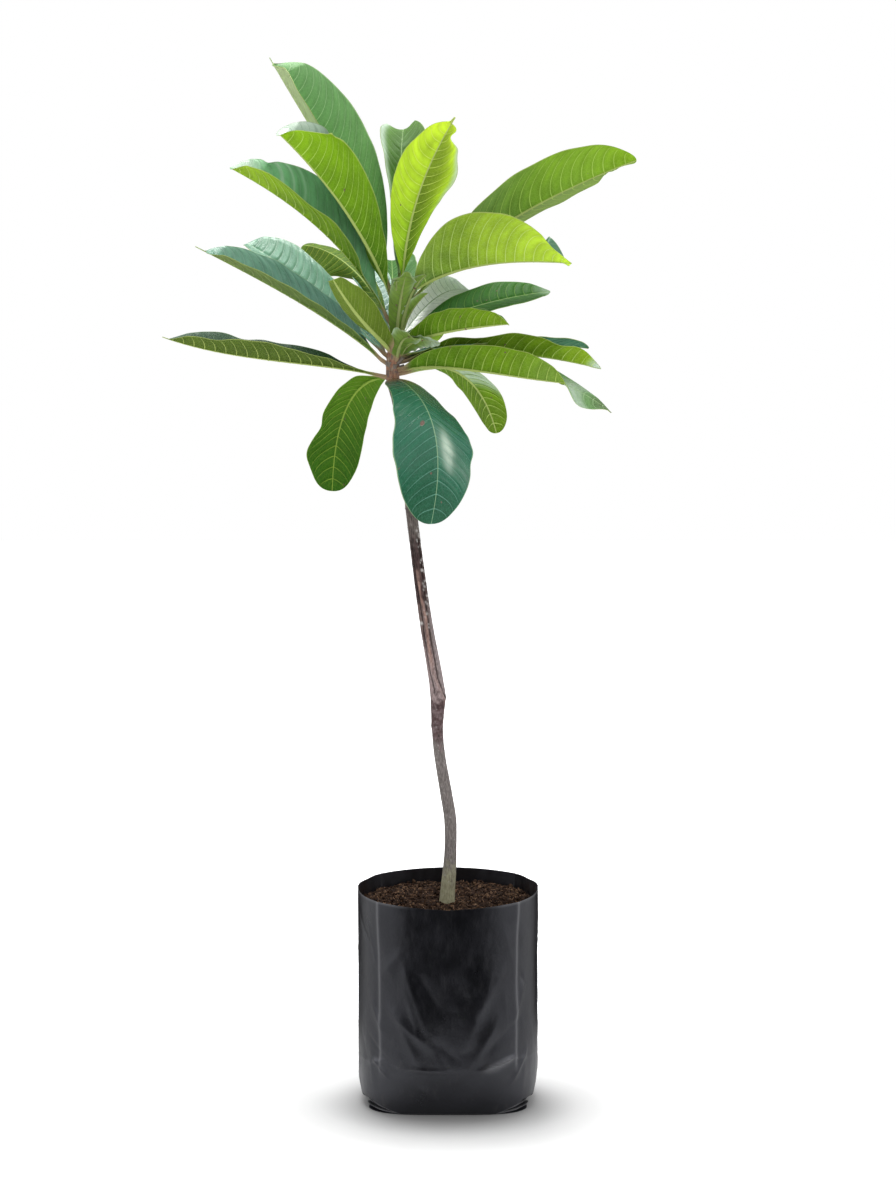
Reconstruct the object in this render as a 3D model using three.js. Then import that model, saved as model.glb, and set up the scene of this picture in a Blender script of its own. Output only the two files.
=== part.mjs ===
// Young grafted mamey sapote tree standing in a black film nursery bag.
// Millimetres. +X is to the right, +Y away from the viewer, +Z up.
// The origin is the middle of the bag's flat underside.

import * as THREE from 'three';
import { mergeVertices } from 'three/addons/utils/BufferGeometryUtils.js';

// Driving dimensions

const clearance = 0.3; // kept between pieces that touch

const bag = {
  height: 228,
  halfWidth: 95.5, // middle of a side, above the gathered foot
  wall: 1.2,
  footHeight: 62, // the foot draws in below this level
  footHalfWidth: 83,
  footHalfDepth: 72,
  footRounding: 9, // radius between the wall and the flat underside
  topSquareness: 2.4, // exponent of the superellipse in plan, 2 is a plain ellipse
  footSquareness: 3.2,
  around: 48,
};

const soil = {
  level: 210, // flat where the trunk stands
  sideGap: 0.9, // from the bag's wall, wide enough for the facets of both
  flatRadius: 24,
  lump: 1.6, // height of the lumps
  lumpSpacing: 7, // over the sine's radians
  edgeDip: 4,
  rings: 8,
};

const trunk = {
  sides: 14,
  steps: 40,
  tipHeight: 868,
};

// The trunk's centreline as height, place along X and Y, and radius. It leans to the left,
// kinks above the ground and at the graft, and straightens again inside the crown.
const trunkPath = [
  { z: 210.3, x: -1, y: 0, r: 8.4 },
  { z: 222, x: -0.4, y: 0, r: 7.9 },
  { z: 245, x: 1.5, y: 0.5, r: 7.2 },
  { z: 270, x: 2.7, y: 1, r: 6.4 },
  { z: 300, x: 2.4, y: 1, r: 6.5 },
  { z: 327, x: -1.7, y: 0, r: 6.4 },
  { z: 372, x: -9, y: -2, r: 6.0 },
  { z: 400, x: -11.2, y: -3, r: 6.1 },
  { z: 432, x: -10.6, y: -2, r: 7.7 },
  { z: 455, x: -13.3, y: -1, r: 7.5 },
  { z: 508, x: -22.7, y: 1, r: 6.7 },
  { z: 570, x: -31.2, y: 2, r: 6.2 },
  { z: 626, x: -38.2, y: 2, r: 5.8 },
  { z: 700, x: -47.6, y: 1, r: 5.8 },
  { z: 742, x: -53.6, y: 0.5, r: 6 },
  { z: 768, x: -57.6, y: 0, r: 6.9 },
  { z: 803, x: -56, y: 0, r: 6.2 },
  { z: 835, x: -53, y: 0, r: 4.8 },
  { z: 868, x: -50, y: 0, r: 2.6 },
];

// What a leaf has unless its own line says otherwise
const usualLeaf = {
  petioleShare: 0.07, // of the leaf's length
  petioleHalfWidth: 1.7,
  widest: 0.62, // place of the greatest width along the blade
  baseTaper: 1.15, // higher is a slimmer foot of the blade
  blunt: 0.6, // 0.5 is a round end, 1 a pointed one
  dripTip: 0, // share of the length that is a narrow point
  lift: [0, 0], // rise of the midrib over its chord at one and two thirds
  sway: [0, 0], // its sideways shift there
  roll: 0, // turn about the midrib
  twist: 0, // further turn from foot to tip
  fold: 25, // rise of each half from the midrib
  cup: 0, // further rise of each half towards its margin
  wave: 0, // height of the margin's waves
  waves: 2.5, // their number from foot to tip
};

const leafRows = 15;
const leafColumns = 4;
const thicknessShare = 1 / 92; // of the leaf's length
const leastThickness = 1.2;
const tipHalfWidth = 1.2; // of a leaf that ends in a point
const rollStart = 0.25; // the roll grows from the foot to this share of the length
const openedAt = 0.55; // share of the full width at which the halves have risen fully
const wavePhases = [3.6, 0.9]; // of the two margins
const steepestRib = 1.8; // limit to the thickness that the fold adds at the midrib

// Each leaf starts at a height on the trunk and heads off at an angle in plan, counted from +X
// towards +Y. Its tip lies out by the reach and up by the climb.
const leaves = [
  { name: 'leaf_crest_left', foot: 850, heading: 166, reach: 134, climb: 250, width: 98,
    lift: [12, 3], roll: 24, fold: 52, cup: -12, blunt: 0.48, widest: 0.64, dripTip: 0.03 },
  { name: 'leaf_crest_front', foot: 858, heading: -58, reach: 106, climb: 170, width: 68,
    lift: [14, 12], sway: [-4, -5], roll: 8, fold: 15, blunt: 0.65, dripTip: 0.04 },
  { name: 'leaf_crest_rear', foot: 862, heading: 88, reach: 78, climb: 168, width: 74,
    lift: [14, 34], roll: -20, twist: 60, fold: 42, blunt: 0.5, widest: 0.68 },
  { name: 'leaf_upper_left_front', foot: 846, heading: -138, reach: 149, climb: 164, width: 86,
    lift: [11, 12], roll: -18, fold: 66, cup: -18, blunt: 0.45, widest: 0.66 },
  { name: 'leaf_upper_left', foot: 826, heading: -176, reach: 165, climb: 158, width: 78,
    lift: [19, 15], roll: 33, fold: 52, blunt: 0.5, wave: 3 },
  { name: 'leaf_upper_right_rear', foot: 840, heading: 12, reach: 252, climb: 156, width: 80,
    lift: [18, 13], roll: 50, fold: 35, blunt: 0.5, widest: 0.64 },
  { name: 'leaf_upper_right_front', foot: 852, heading: -22, reach: 186, climb: 33, width: 112,
    lift: [17, 11], roll: 38, fold: 44, blunt: 0.95, widest: 0.42, baseTaper: 1.15 },
  { name: 'leaf_upper_rear', foot: 838, heading: 52, reach: 170, climb: 62, width: 64,
    lift: [12, 12] },
  { name: 'leaf_mid_left', foot: 785, heading: -170, reach: 197, climb: 118, width: 72,
    lift: [10, 7], roll: 21, fold: 30, dripTip: 0.05 },
  { name: 'leaf_mid_left_rear', foot: 792, heading: 152, reach: 172, climb: 118, width: 66,
    lift: [4, 6], roll: 20, blunt: 0.45, widest: 0.72 },
  { name: 'leaf_mid_left_front', foot: 797, heading: -111, reach: 150, climb: 70, width: 46,
    lift: [4, 2], roll: -25, fold: 58, widest: 0.52 },
  { name: 'leaf_mid_left_drooping', foot: 822, heading: 127, reach: 158, climb: 92, width: 54,
    lift: [16, 18], roll: 30, fold: -20, blunt: 0.5 },
  { name: 'leaf_mid_left_small', foot: 812, heading: 112, reach: 120, climb: 84, width: 44,
    lift: [6, 12], fold: 10 },
  { name: 'leaf_mid_rear', foot: 803, heading: 92, reach: 190, climb: 92, width: 64,
    lift: [12, 12], fold: 35 },
  { name: 'leaf_mid_right', foot: 810, heading: 22, reach: 171, climb: 49, width: 60,
    lift: [8, 6], roll: -26, fold: 14, blunt: 0.75 },
  { name: 'leaf_mid_right_front', foot: 800, heading: -32, reach: 132, climb: 24, width: 48,
    lift: [6, 3], roll: 38, fold: 42, widest: 0.5 },
  { name: 'leaf_mid_right_rear', foot: 806, heading: 55, reach: 134, climb: 54, width: 62,
    lift: [10, 19], roll: -26, fold: 16 },
  { name: 'leaf_low_left', foot: 771, heading: -175, reach: 231, climb: 40, width: 55,
    lift: [2, -9], roll: 6, fold: 40, dripTip: 0.03, wave: 2, waves: 2 },
  { name: 'leaf_low_right_front', foot: 778, heading: -14, reach: 176, climb: -14, width: 56,
    lift: [8, 0], roll: 40, fold: 45 },
  { name: 'leaf_low_right', foot: 786, heading: 14, reach: 220, climb: -9, width: 50,
    lift: [13, 10], roll: 20, fold: 30, blunt: 0.7, wave: 3, waves: 3 },
  { name: 'leaf_low_right_rear', foot: 792, heading: 32, reach: 241, climb: 6, width: 42,
    lift: [3, 8], blunt: 0.5 },
  { name: 'leaf_low_right_drooping', foot: 774, heading: 8, reach: 226, climb: -43, width: 50,
    lift: [20, 26], fold: 30, blunt: 0.8 },
  { name: 'leaf_low_rear', foot: 783, heading: 80, reach: 205, climb: 20, width: 74,
    lift: [22, 20], fold: 20 },
  { name: 'leaf_hanging_left', foot: 770, heading: 127, reach: 106, climb: -120, width: 58,
    lift: [42, 42], sway: [-16, -14], roll: -22, fold: 6, blunt: 0.42, widest: 0.74,
    baseTaper: 0.75, petioleShare: 0.04 },
  { name: 'leaf_hanging_front', foot: 768, heading: -70, reach: 112, climb: -144, width: 92,
    lift: [42, 54], sway: [0, 8], roll: 18, fold: -8, blunt: 0.42, widest: 0.7,
    baseTaper: 0.8, petioleShare: 0.03 },
  { name: 'leaf_hanging_right', foot: 777, heading: 37, reach: 131, climb: -70, width: 50,
    lift: [28, 32], roll: 30, blunt: 0.45, widest: 0.72 },
  { name: 'leaf_young_broad', foot: 805, heading: -57, reach: 37, climb: 70, width: 24,
    lift: [6, 6], roll: 10, fold: 20 },
  { name: 'leaf_young_flared', foot: 788, heading: -68, reach: 40, climb: 20, width: 28,
    lift: [10, 10], roll: 10, fold: 30 },
  { name: 'leaf_young_slim', foot: 826, heading: -88, reach: 26, climb: 42, width: 14,
    lift: [5, 5], fold: 30 },
];

// Colours and finishes

const bagFilm = { color: 0x26282b, roughness: 0.42, metalness: 0 };
const darkSoil = { color: 0x3a2a20, roughness: 0.95, metalness: 0 };
const greyBark = { color: 0x7d7168, roughness: 0.85, metalness: 0 };
const leafGreen = { color: 0x5f9436, roughness: 0.5, metalness: 0 };
const leafTeal = { color: 0x2f6f5c, roughness: 0.35, metalness: 0 };
const tealLeaves = ['leaf_hanging_front', 'leaf_mid_left', 'leaf_mid_left_rear'];

// Helpers

const radians = THREE.MathUtils.degToRad;
const smooth = THREE.MathUtils.smoothstep;

// Names a mesh and gives it a material of its own.
function makeMesh(name, geometry, look) {
  const mesh = new THREE.Mesh(geometry, new THREE.MeshStandardMaterial(look));
  mesh.name = name;
  return mesh;
}

// Keeps only the positions, merges the seams and drops the triangles that have collapsed, so
// that the surface is one closed body.
function closeSeams(geometry) {
  geometry.deleteAttribute('uv');
  geometry.deleteAttribute('normal');
  const merged = mergeVertices(geometry, 1e-4);
  const corners = merged.getIndex().array;
  const kept = [];
  for (let i = 0; i < corners.length; i += 3) {
    const [a, b, c] = corners.slice(i, i + 3);
    if (a !== b && b !== c && c !== a) kept.push(a, b, c);
  }
  merged.setIndex(kept);
  return merged;
}

// Moves every vertex to where the rule puts it.
function reshape(geometry, rule) {
  const position = geometry.getAttribute('position');
  const vertex = new THREE.Vector3();
  for (let i = 0; i < position.count; i += 1) {
    vertex.fromBufferAttribute(position, i);
    const moved = rule(vertex);
    position.setXYZ(i, moved.x, moved.y, moved.z);
  }
  return geometry;
}

// Bag and soil

// Distance from the axis to a superellipse in plan.
function planRadius(angle, halfWidth, halfDepth, squareness) {
  const across = Math.abs(Math.cos(angle) / halfWidth) ** squareness;
  const along = Math.abs(Math.sin(angle) / halfDepth) ** squareness;
  return (across + along) ** (-1 / squareness);
}

// The bag's outer wall: nearly round above, drawn in to a blunt rectangle at its foot.
function bagRadius(angle, z) {
  const top = planRadius(angle, bag.halfWidth, bag.halfWidth, bag.topSquareness);
  const foot = planRadius(angle, bag.footHalfWidth, bag.footHalfDepth, bag.footSquareness);
  return THREE.MathUtils.lerp(foot, top, smooth(z, 0, bag.footHeight));
}

// Lathes a profile about Z and stretches each level to the bag's plan there.
function bagShaped(profile) {
  const lathe = new THREE.LatheGeometry(profile, bag.around);
  lathe.rotateX(Math.PI / 2);
  return reshape(closeSeams(lathe), (vertex) => {
    const angle = Math.atan2(vertex.y, vertex.x);
    const stretch = bagRadius(angle, vertex.z) / bag.halfWidth;
    return new THREE.Vector3(vertex.x * stretch, vertex.y * stretch, vertex.z);
  });
}

// The side of a round-footed body, from its underside up to its rim, at a distance inside the
// bag's outer wall.
function sideProfile(inset, base, rim) {
  const round = bag.footRounding;
  const side = [];
  for (const turn of [0, 30, 60, 90]) {
    const out = bag.halfWidth - inset - round + round * Math.sin(radians(turn));
    side.push(new THREE.Vector2(out, base + round - round * Math.cos(radians(turn))));
  }
  const levels = [0.4, 0.7, 1, 1.7, 2.6].map((share) => share * bag.footHeight);
  for (const level of [...levels, rim]) {
    side.push(new THREE.Vector2(bag.halfWidth - inset, level));
  }
  return side;
}

function makeBag() {
  const outside = [new THREE.Vector2(0, 0), ...sideProfile(0, 0, bag.height)];
  const inside = [new THREE.Vector2(0, bag.wall), ...sideProfile(bag.wall, bag.wall, bag.height)];
  return makeMesh('bag', bagShaped([...outside, ...inside.reverse()]), bagFilm);
}

// Height of the soil's surface: level round the trunk, crumbly further out, lower at the wall.
function soilSurface(x, y) {
  const out = Math.hypot(x, y);
  const away = smooth(out, soil.flatRadius, bag.halfWidth);
  const [u, v] = [x / soil.lumpSpacing, y / soil.lumpSpacing];
  const lumps = Math.sin(u + 1) * Math.cos(1.2 * v) + 0.6 * Math.sin(0.8 * (u + 2 * v));
  return soil.level - soil.edgeDip * away + soil.lump * lumps * Math.min(1, 4 * away);
}

function makeSoil() {
  const base = bag.wall + clearance;
  const inset = bag.wall + soil.sideGap;
  const side = sideProfile(inset, base, soil.level);
  const surface = [];
  for (let ring = 1; ring <= soil.rings; ring += 1) {
    const share = 1 - ring / soil.rings;
    surface.push(new THREE.Vector2((bag.halfWidth - inset) * share, soil.level));
  }
  const body = bagShaped([new THREE.Vector2(0, base), ...side, ...surface]);
  reshape(body, (vertex) => {
    const onTop = vertex.z > soil.level - 0.001;
    const z = onTop ? soilSurface(vertex.x, vertex.y) : vertex.z;
    return new THREE.Vector3(vertex.x, vertex.y, z);
  });
  return makeMesh('soil', body, darkSoil);
}

// Trunk

// Centre and radius of the trunk at a height, on a smooth curve through its path.
function trunkAt(z) {
  const last = trunkPath.length - 1;
  let i = 0;
  while (i < last - 1 && trunkPath[i + 1].z < z) i += 1;
  const [start, end] = [trunkPath[i], trunkPath[i + 1]];
  const [before, after] = [trunkPath[Math.max(i - 1, 0)], trunkPath[Math.min(i + 2, last)]];
  const span = end.z - start.z;
  const t = THREE.MathUtils.clamp((z - start.z) / span, 0, 1);
  const through = (key) => {
    const startSlope = (end[key] - before[key]) / (end.z - before.z);
    const endSlope = (after[key] - start[key]) / (after.z - start.z);
    return (2 * t ** 3 - 3 * t ** 2 + 1) * start[key] + (t ** 3 - 2 * t ** 2 + t) * span * startSlope
      + (3 * t ** 2 - 2 * t ** 3) * end[key] + (t ** 3 - t ** 2) * span * endSlope;
  };
  return { centre: new THREE.Vector3(through('x'), through('y'), z), radius: through('r') };
}

function makeTrunk() {
  const post = new THREE.CylinderGeometry(1, 1, 1, trunk.sides, trunk.steps);
  const body = reshape(closeSeams(post), (vertex) => {
    const z = THREE.MathUtils.lerp(trunkPath[0].z, trunk.tipHeight, vertex.y + 0.5);
    const { centre, radius } = trunkAt(z);
    return new THREE.Vector3(centre.x + radius * vertex.x, centre.y - radius * vertex.z, z);
  });
  return makeMesh('trunk', body, greyBark);
}

// Leaves

// The midrib is one cubic curve from the leaf's foot to its tip. The foot stands clear of the
// bark by the clearance, measured from the petiole's nearest corner.
function midribOf(leaf, halfThickness) {
  const heading = radians(leaf.heading);
  const out = new THREE.Vector3(Math.cos(heading), Math.sin(heading), 0);
  const side = new THREE.Vector3(-Math.sin(heading), Math.cos(heading), 0);
  const chord = out.clone().multiplyScalar(leaf.reach).setZ(leaf.climb);
  const above = chord.clone().normalize().cross(side);
  const { centre, radius } = trunkAt(leaf.foot);
  const bend = (place) => chord.clone().multiplyScalar((place + 1) / 3)
    .addScaledVector(above, 1.5 * leaf.lift[place])
    .addScaledVector(side, 1.5 * leaf.sway[place]);
  const steepness = Math.abs(bend(0).normalize().z);
  const stand = radius + clearance + halfThickness * steepness;
  const foot = centre.clone().addScaledVector(out, stand);
  const points = [foot, bend(0).add(foot), bend(1).add(foot), chord.clone().add(foot)];
  return { curve: new THREE.CubicBezierCurve3(...points), side };
}

// Half the blade's width at a share of the leaf's length.
function halfWidthAt(leaf, along) {
  const bladeEnd = 1 - leaf.dripTip;
  const blade = (along - leaf.petioleShare) / (bladeEnd - leaf.petioleShare);
  let share = 0;
  if (blade > 0 && blade < leaf.widest) {
    share = Math.sin((Math.PI / 2) * (blade / leaf.widest)) ** leaf.baseTaper;
  } else if (blade >= leaf.widest && blade < 1) {
    share = (1 - ((blade - leaf.widest) / (1 - leaf.widest)) ** 2) ** leaf.blunt;
  }
  const point = leaf.dripTip > 0
    ? tipHalfWidth + 90 * (1 - along) * leaf.dripTip
    : Math.max(tipHalfWidth, 0.16 * (1 - leaf.blunt) * leaf.width);
  const least = along < 0.5 ? leaf.petioleHalfWidth : point;
  return Math.max((share * leaf.width) / 2, least);
}

// A point of the leaf: along runs from foot to tip, across from margin to margin as -1 to 1,
// through from the under side to the upper one as -0.5 to 0.5.
function leafPoint(leaf, midrib, thickness, along, across, through) {
  const tangent = midrib.curve.getTangent(along);
  const level = midrib.side.clone().addScaledVector(tangent, -midrib.side.dot(tangent)).normalize();
  const upright = tangent.clone().cross(level);
  const started = smooth(along, 0, rollStart);
  const roll = radians(leaf.roll + leaf.twist * (along - 0.5)) * started;
  const side = level.clone().multiplyScalar(Math.cos(roll)).addScaledVector(upright, -Math.sin(roll));
  const upper = upright.clone().multiplyScalar(Math.cos(roll)).addScaledVector(level, Math.sin(roll));
  const halfWidth = halfWidthAt(leaf, along);
  const fullness = Math.min(1, (2 * halfWidth) / leaf.width);
  const opened = Math.min(1, fullness / openedAt);
  const share = Math.abs(across);
  const rise = radians(leaf.fold * opened);
  const curl = radians(leaf.cup * opened) || 1e-4;
  const slope = rise + curl * share;
  const out = (halfWidth / curl) * (Math.sin(slope) - Math.sin(rise));
  const phase = wavePhases[across > 0 ? 1 : 0];
  const margin = Math.sin(2 * Math.PI * leaf.waves * along + phase);
  const up = (halfWidth / curl) * (Math.cos(rise) - Math.cos(slope))
    + leaf.wave * share ** 2 * fullness * margin;
  const ribFactor = across === 0 ? Math.min(1 / Math.cos(rise), steepestRib) : 1;
  const offset = thickness * through * ribFactor;
  const leanSide = across === 0 ? 0 : Math.sin(slope);
  const leanUp = across === 0 ? 1 : Math.cos(slope);
  return midrib.curve.getPoint(along)
    .addScaledVector(side, Math.sign(across) * (out - offset * leanSide))
    .addScaledVector(upper, up + offset * leanUp);
}

function makeLeaf(own) {
  const leaf = { ...usualLeaf, ...own };
  const length = Math.hypot(leaf.reach, leaf.climb);
  const thickness = Math.max(leastThickness, length * thicknessShare);
  const midrib = midribOf(leaf, thickness / 2);
  const slab = new THREE.BoxGeometry(1, 2, 1, leafRows, leafColumns, 1);
  const body = reshape(closeSeams(slab), (vertex) => {
    const even = vertex.x + 0.5;
    const along = 0.4 * even + 0.3 * (1 - Math.cos(Math.PI * even)); // closer rows at both ends
    return leafPoint(leaf, midrib, thickness, along, vertex.y, vertex.z);
  });
  return makeMesh(leaf.name, body, tealLeaves.includes(leaf.name) ? leafTeal : leafGreen);
}

// Assembly

const tree = new THREE.Group();
tree.add(makeBag(), makeSoil(), makeTrunk());
for (const leaf of leaves) {
  tree.add(makeLeaf(leaf));
}

export default tree;
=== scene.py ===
import math
import random

import bpy
import numpy as np
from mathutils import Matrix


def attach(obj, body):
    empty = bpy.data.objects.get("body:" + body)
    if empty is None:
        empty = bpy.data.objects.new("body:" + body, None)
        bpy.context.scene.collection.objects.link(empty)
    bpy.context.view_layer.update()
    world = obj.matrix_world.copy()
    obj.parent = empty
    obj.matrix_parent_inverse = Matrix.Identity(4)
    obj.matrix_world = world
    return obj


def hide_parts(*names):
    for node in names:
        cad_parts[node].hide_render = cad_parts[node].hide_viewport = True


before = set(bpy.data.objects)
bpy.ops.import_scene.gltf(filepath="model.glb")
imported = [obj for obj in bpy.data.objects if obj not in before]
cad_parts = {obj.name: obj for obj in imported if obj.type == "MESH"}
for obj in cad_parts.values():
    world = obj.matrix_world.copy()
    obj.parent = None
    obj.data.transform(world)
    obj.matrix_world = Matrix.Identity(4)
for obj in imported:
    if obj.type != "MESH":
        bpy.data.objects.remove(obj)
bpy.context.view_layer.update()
bpy.ops.object.select_all(action="DESELECT")
mm = 0.001


# Camera, from the photograph: 896 x 1195 pixels, eye level with the crown
camera = dict(
    distance=2.6, height=0.8184, pitchDown=6.16,
    focalPixels=2484.5, imageHeight=1195, sensor=36,
)


def addCamera():
    tilt = math.radians(90 - camera["pitchDown"])
    bpy.ops.object.camera_add(
        location=(0, -camera["distance"], camera["height"]), rotation=(tilt, 0, 0)
    )
    eye = bpy.context.object
    eye.name = "camera"
    eye.data.sensor_width = camera["sensor"]
    eye.data.lens = camera["focalPixels"] * camera["sensor"] / camera["imageHeight"]
    bpy.context.scene.camera = eye


addCamera()
print("camera placed")


# Small helpers for meshes
def smoothStep(x, low, high):
    t = np.clip((x - low) / (high - low), 0, 1)
    return t * t * (3 - 2 * t)


def bell(x, power=2):
    # 1 at zero, falling off to both sides
    return np.exp(-(x**power))


def readVertices(piece):
    flat = np.empty(len(piece.data.vertices) * 3)
    piece.data.vertices.foreach_get("co", flat)
    return flat.reshape(-1, 3)


def writeVertices(piece, points):
    piece.data.vertices.foreach_set("co", np.asarray(points, np.float32).ravel())
    piece.data.update()


def writeMap(piece, name, perVertex):
    layer = piece.data.uv_layers.get(name) or piece.data.uv_layers.new(name=name)
    corner = np.empty(len(piece.data.loops), np.int32)
    piece.data.loops.foreach_get("vertex_index", corner)
    layer.data.foreach_set("uv", np.asarray(perVertex, np.float32)[corner].ravel())


def writeValue(piece, name, values):
    attribute = piece.data.attributes.new(name, "FLOAT", "POINT")
    attribute.data.foreach_set("value", np.asarray(values, np.float32))


def select(piece):
    bpy.ops.object.select_all(action="DESELECT")
    piece.select_set(True)
    bpy.context.view_layer.objects.active = piece


def applyAll(piece):
    select(piece)
    for modifier in list(piece.modifiers):
        bpy.ops.object.modifier_apply(modifier=modifier.name)


def thicken(piece, thickness, offset=-1, **settings):
    wall = piece.modifiers.new("wall", "SOLIDIFY")
    wall.thickness = thickness * mm
    wall.offset = offset
    for key, value in settings.items():
        setattr(wall, key, value)
    applyAll(piece)


def editMesh(piece, *steps):
    # each step is a mesh operation, run on the whole piece
    select(piece)
    bpy.ops.object.mode_set(mode="EDIT")
    bpy.ops.mesh.select_all(action="SELECT")
    for step in steps:
        step()
    bpy.ops.object.mode_set(mode="OBJECT")


def weld():
    bpy.ops.mesh.remove_doubles(threshold=0.01 * mm)


def faceOut():
    bpy.ops.mesh.normals_make_consistent(inside=False)


def turned(first, second, angle):
    return first * np.cos(angle) - second * np.sin(angle), first * np.sin(angle) + second * np.cos(angle)


def newGrid(name, columns, rows):
    # a flat sheet from -1 to 1, to be put in place vertex by vertex
    bpy.ops.mesh.primitive_grid_add(x_subdivisions=columns, y_subdivisions=rows, size=2)
    sheet = bpy.context.object
    sheet.name = sheet.data.name = name
    return sheet


def newTube(name, around, rows):
    # an open tube along Z from 0 to 1 with radius 1, one ring of faces repeated by an array
    bpy.ops.mesh.primitive_cylinder_add(
        vertices=around, radius=1, depth=1 / rows, end_fill_type="NOTHING", location=(0, 0, 0.5 / rows)
    )
    tube = bpy.context.object
    tube.name = tube.data.name = name
    bpy.ops.object.transform_apply(location=True, rotation=False, scale=False)
    stack = tube.modifiers.new("stack", "ARRAY")
    stack.count = rows
    stack.relative_offset_displace = (0, 0, 1)
    stack.use_merge_vertices = True
    stack.merge_threshold = 0.2 / rows
    applyAll(tube)
    return tube


def finishPiece(piece, material, nodes=(), sharpAbove=50):
    if material:
        piece.data.materials.append(material)
    select(piece)
    bpy.ops.object.shade_smooth_by_angle(angle=math.radians(sharpAbove))
    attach(piece, "root")
    if nodes:
        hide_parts(*nodes)
    piece.select_set(False)


# Small helpers for materials
def addNode(tree, kind, inputs=(), **settings):
    made = tree.nodes.new(kind)
    for key, value in settings.items():
        setattr(made, key, value)
    for key, value in dict(inputs).items():
        connect(tree, value, made.inputs[key])
    return made


def connect(tree, value, socket):
    if isinstance(value, bpy.types.NodeSocket):
        tree.links.new(value, socket)
    else:
        socket.default_value = value


def calc(tree, operation, *values, clamp=False):
    inputs = dict(enumerate(values))
    return addNode(tree, "ShaderNodeMath", inputs, operation=operation, use_clamp=clamp).outputs[0]


def product(tree, first, *others):
    for other in others:
        first = calc(tree, "MULTIPLY", first, other)
    return first


def rangeOf(tree, value, low, high, toLow=0.0, toHigh=1.0, smooth=True):
    inputs = {"Value": value, "From Min": low, "From Max": high, "To Min": toLow, "To Max": toHigh}
    kind = "SMOOTHSTEP" if smooth else "LINEAR"
    return addNode(tree, "ShaderNodeMapRange", inputs, interpolation_type=kind).outputs["Result"]


def blendColours(tree, factor, first, second, mode="MIX"):
    mix = addNode(tree, "ShaderNodeMix", data_type="RGBA", blend_type=mode, clamp_factor=True)
    connect(tree, factor, mix.inputs[0])
    connect(tree, first, mix.inputs[6])
    connect(tree, second, mix.inputs[7])
    return mix.outputs[2]


def rampOf(tree, value, low, high, first, second):
    # from one plain colour to another while the value rises
    return blendColours(tree, rangeOf(tree, value, low, high), rgb(*first), rgb(*second))


def coated(tree, colour, *coats):
    # coats of colour over one another, each with the mask that it shows through
    for mask, coat in coats:
        colour = blendColours(tree, mask, colour, coat)
    return colour


def noiseAt(tree, vector, scale, detail=3.0, roughness=0.55):
    inputs = {"Vector": vector, "Scale": scale, "Detail": detail, "Roughness": roughness}
    return addNode(tree, "ShaderNodeTexNoise", inputs).outputs["Fac"]


def coordinates(tree, kind="Object"):
    return addNode(tree, "ShaderNodeTexCoord").outputs[kind]


def mapped(tree, vector, scale, shift=(0.0, 0.0, 0.0)):
    return addNode(tree, "ShaderNodeMapping", {"Vector": vector, "Location": shift, "Scale": scale}).outputs[0]


def partsOf(tree, vector):
    return addNode(tree, "ShaderNodeSeparateXYZ", {0: vector}).outputs


def lengthOf(tree, vector):
    return addNode(tree, "ShaderNodeVectorMath", {0: vector}, operation="LENGTH").outputs["Value"]


def greyOf(tree, value):
    return addNode(tree, "ShaderNodeCombineColor", {0: value, 1: value, 2: value}).outputs[0]


def maskOf(tree, name):
    # a value that writeValue left on the mesh
    return addNode(tree, "ShaderNodeAttribute", attribute_name=name).outputs["Fac"]


def rgb(red, green, blue):
    return (red, green, blue, 1.0)


def newGroup(name, inputs, outputs):
    group = bpy.data.node_groups.new(name, "ShaderNodeTree")
    for title, kind, value in inputs:
        socket = group.interface.new_socket(title, in_out="INPUT", socket_type="NodeSocket" + kind)
        socket.default_value = value
    for title, kind in outputs:
        group.interface.new_socket(title, in_out="OUTPUT", socket_type="NodeSocket" + kind)
    return group, group.nodes.new("NodeGroupInput").outputs, group.nodes.new("NodeGroupOutput").inputs


def newMaterial(name, **plain):
    material = bpy.data.materials.new(name)
    material.use_nodes = True
    shader = material.node_tree.nodes["Principled BSDF"]
    for key, value in plain.items():
        shader.inputs[key].default_value = value
    return material, material.node_tree, shader


def dressShader(tree, shader, colour, roughness, height, bumpStrength, bumpDepth):
    connect(tree, colour, shader.inputs["Base Color"])
    connect(tree, roughness, shader.inputs["Roughness"])
    bump = addNode(tree, "ShaderNodeBump", {"Height": height, "Strength": bumpStrength, "Distance": bumpDepth * mm})
    connect(tree, bump.outputs[0], shader.inputs["Normal"])


def placeGroup(tree, group, values):
    placed = tree.nodes.new("ShaderNodeGroup")
    placed.node_tree = group
    for key, value in values.items():
        connect(tree, value, placed.inputs[key])
    return placed.outputs


# Trunk: the same path as the solid, in millimetres: height, place along X and Y, radius
trunkPath = [
    (210.3, -1, 0, 8.4), (222, -0.4, 0, 7.9), (245, 1.5, 0.5, 7.2), (270, 2.7, 1, 6.4),
    (300, 2.4, 1, 6.5), (327, -1.7, 0, 6.4), (372, -9, -2, 6.0), (400, -11.2, -3, 6.1),
    (432, -10.6, -2, 7.7), (455, -13.3, -1, 7.5), (508, -22.7, 1, 6.7), (570, -31.2, 2, 6.2),
    (626, -38.2, 2, 5.8), (700, -46.6, 1, 5.8), (742, -52.2, 0.5, 5.8), (768, -57.6, 0, 6.7),
    (803, -56, 0, 6.2), (835, -53, 0, 4.8), (868, -50, 0, 2.6),
]


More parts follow.
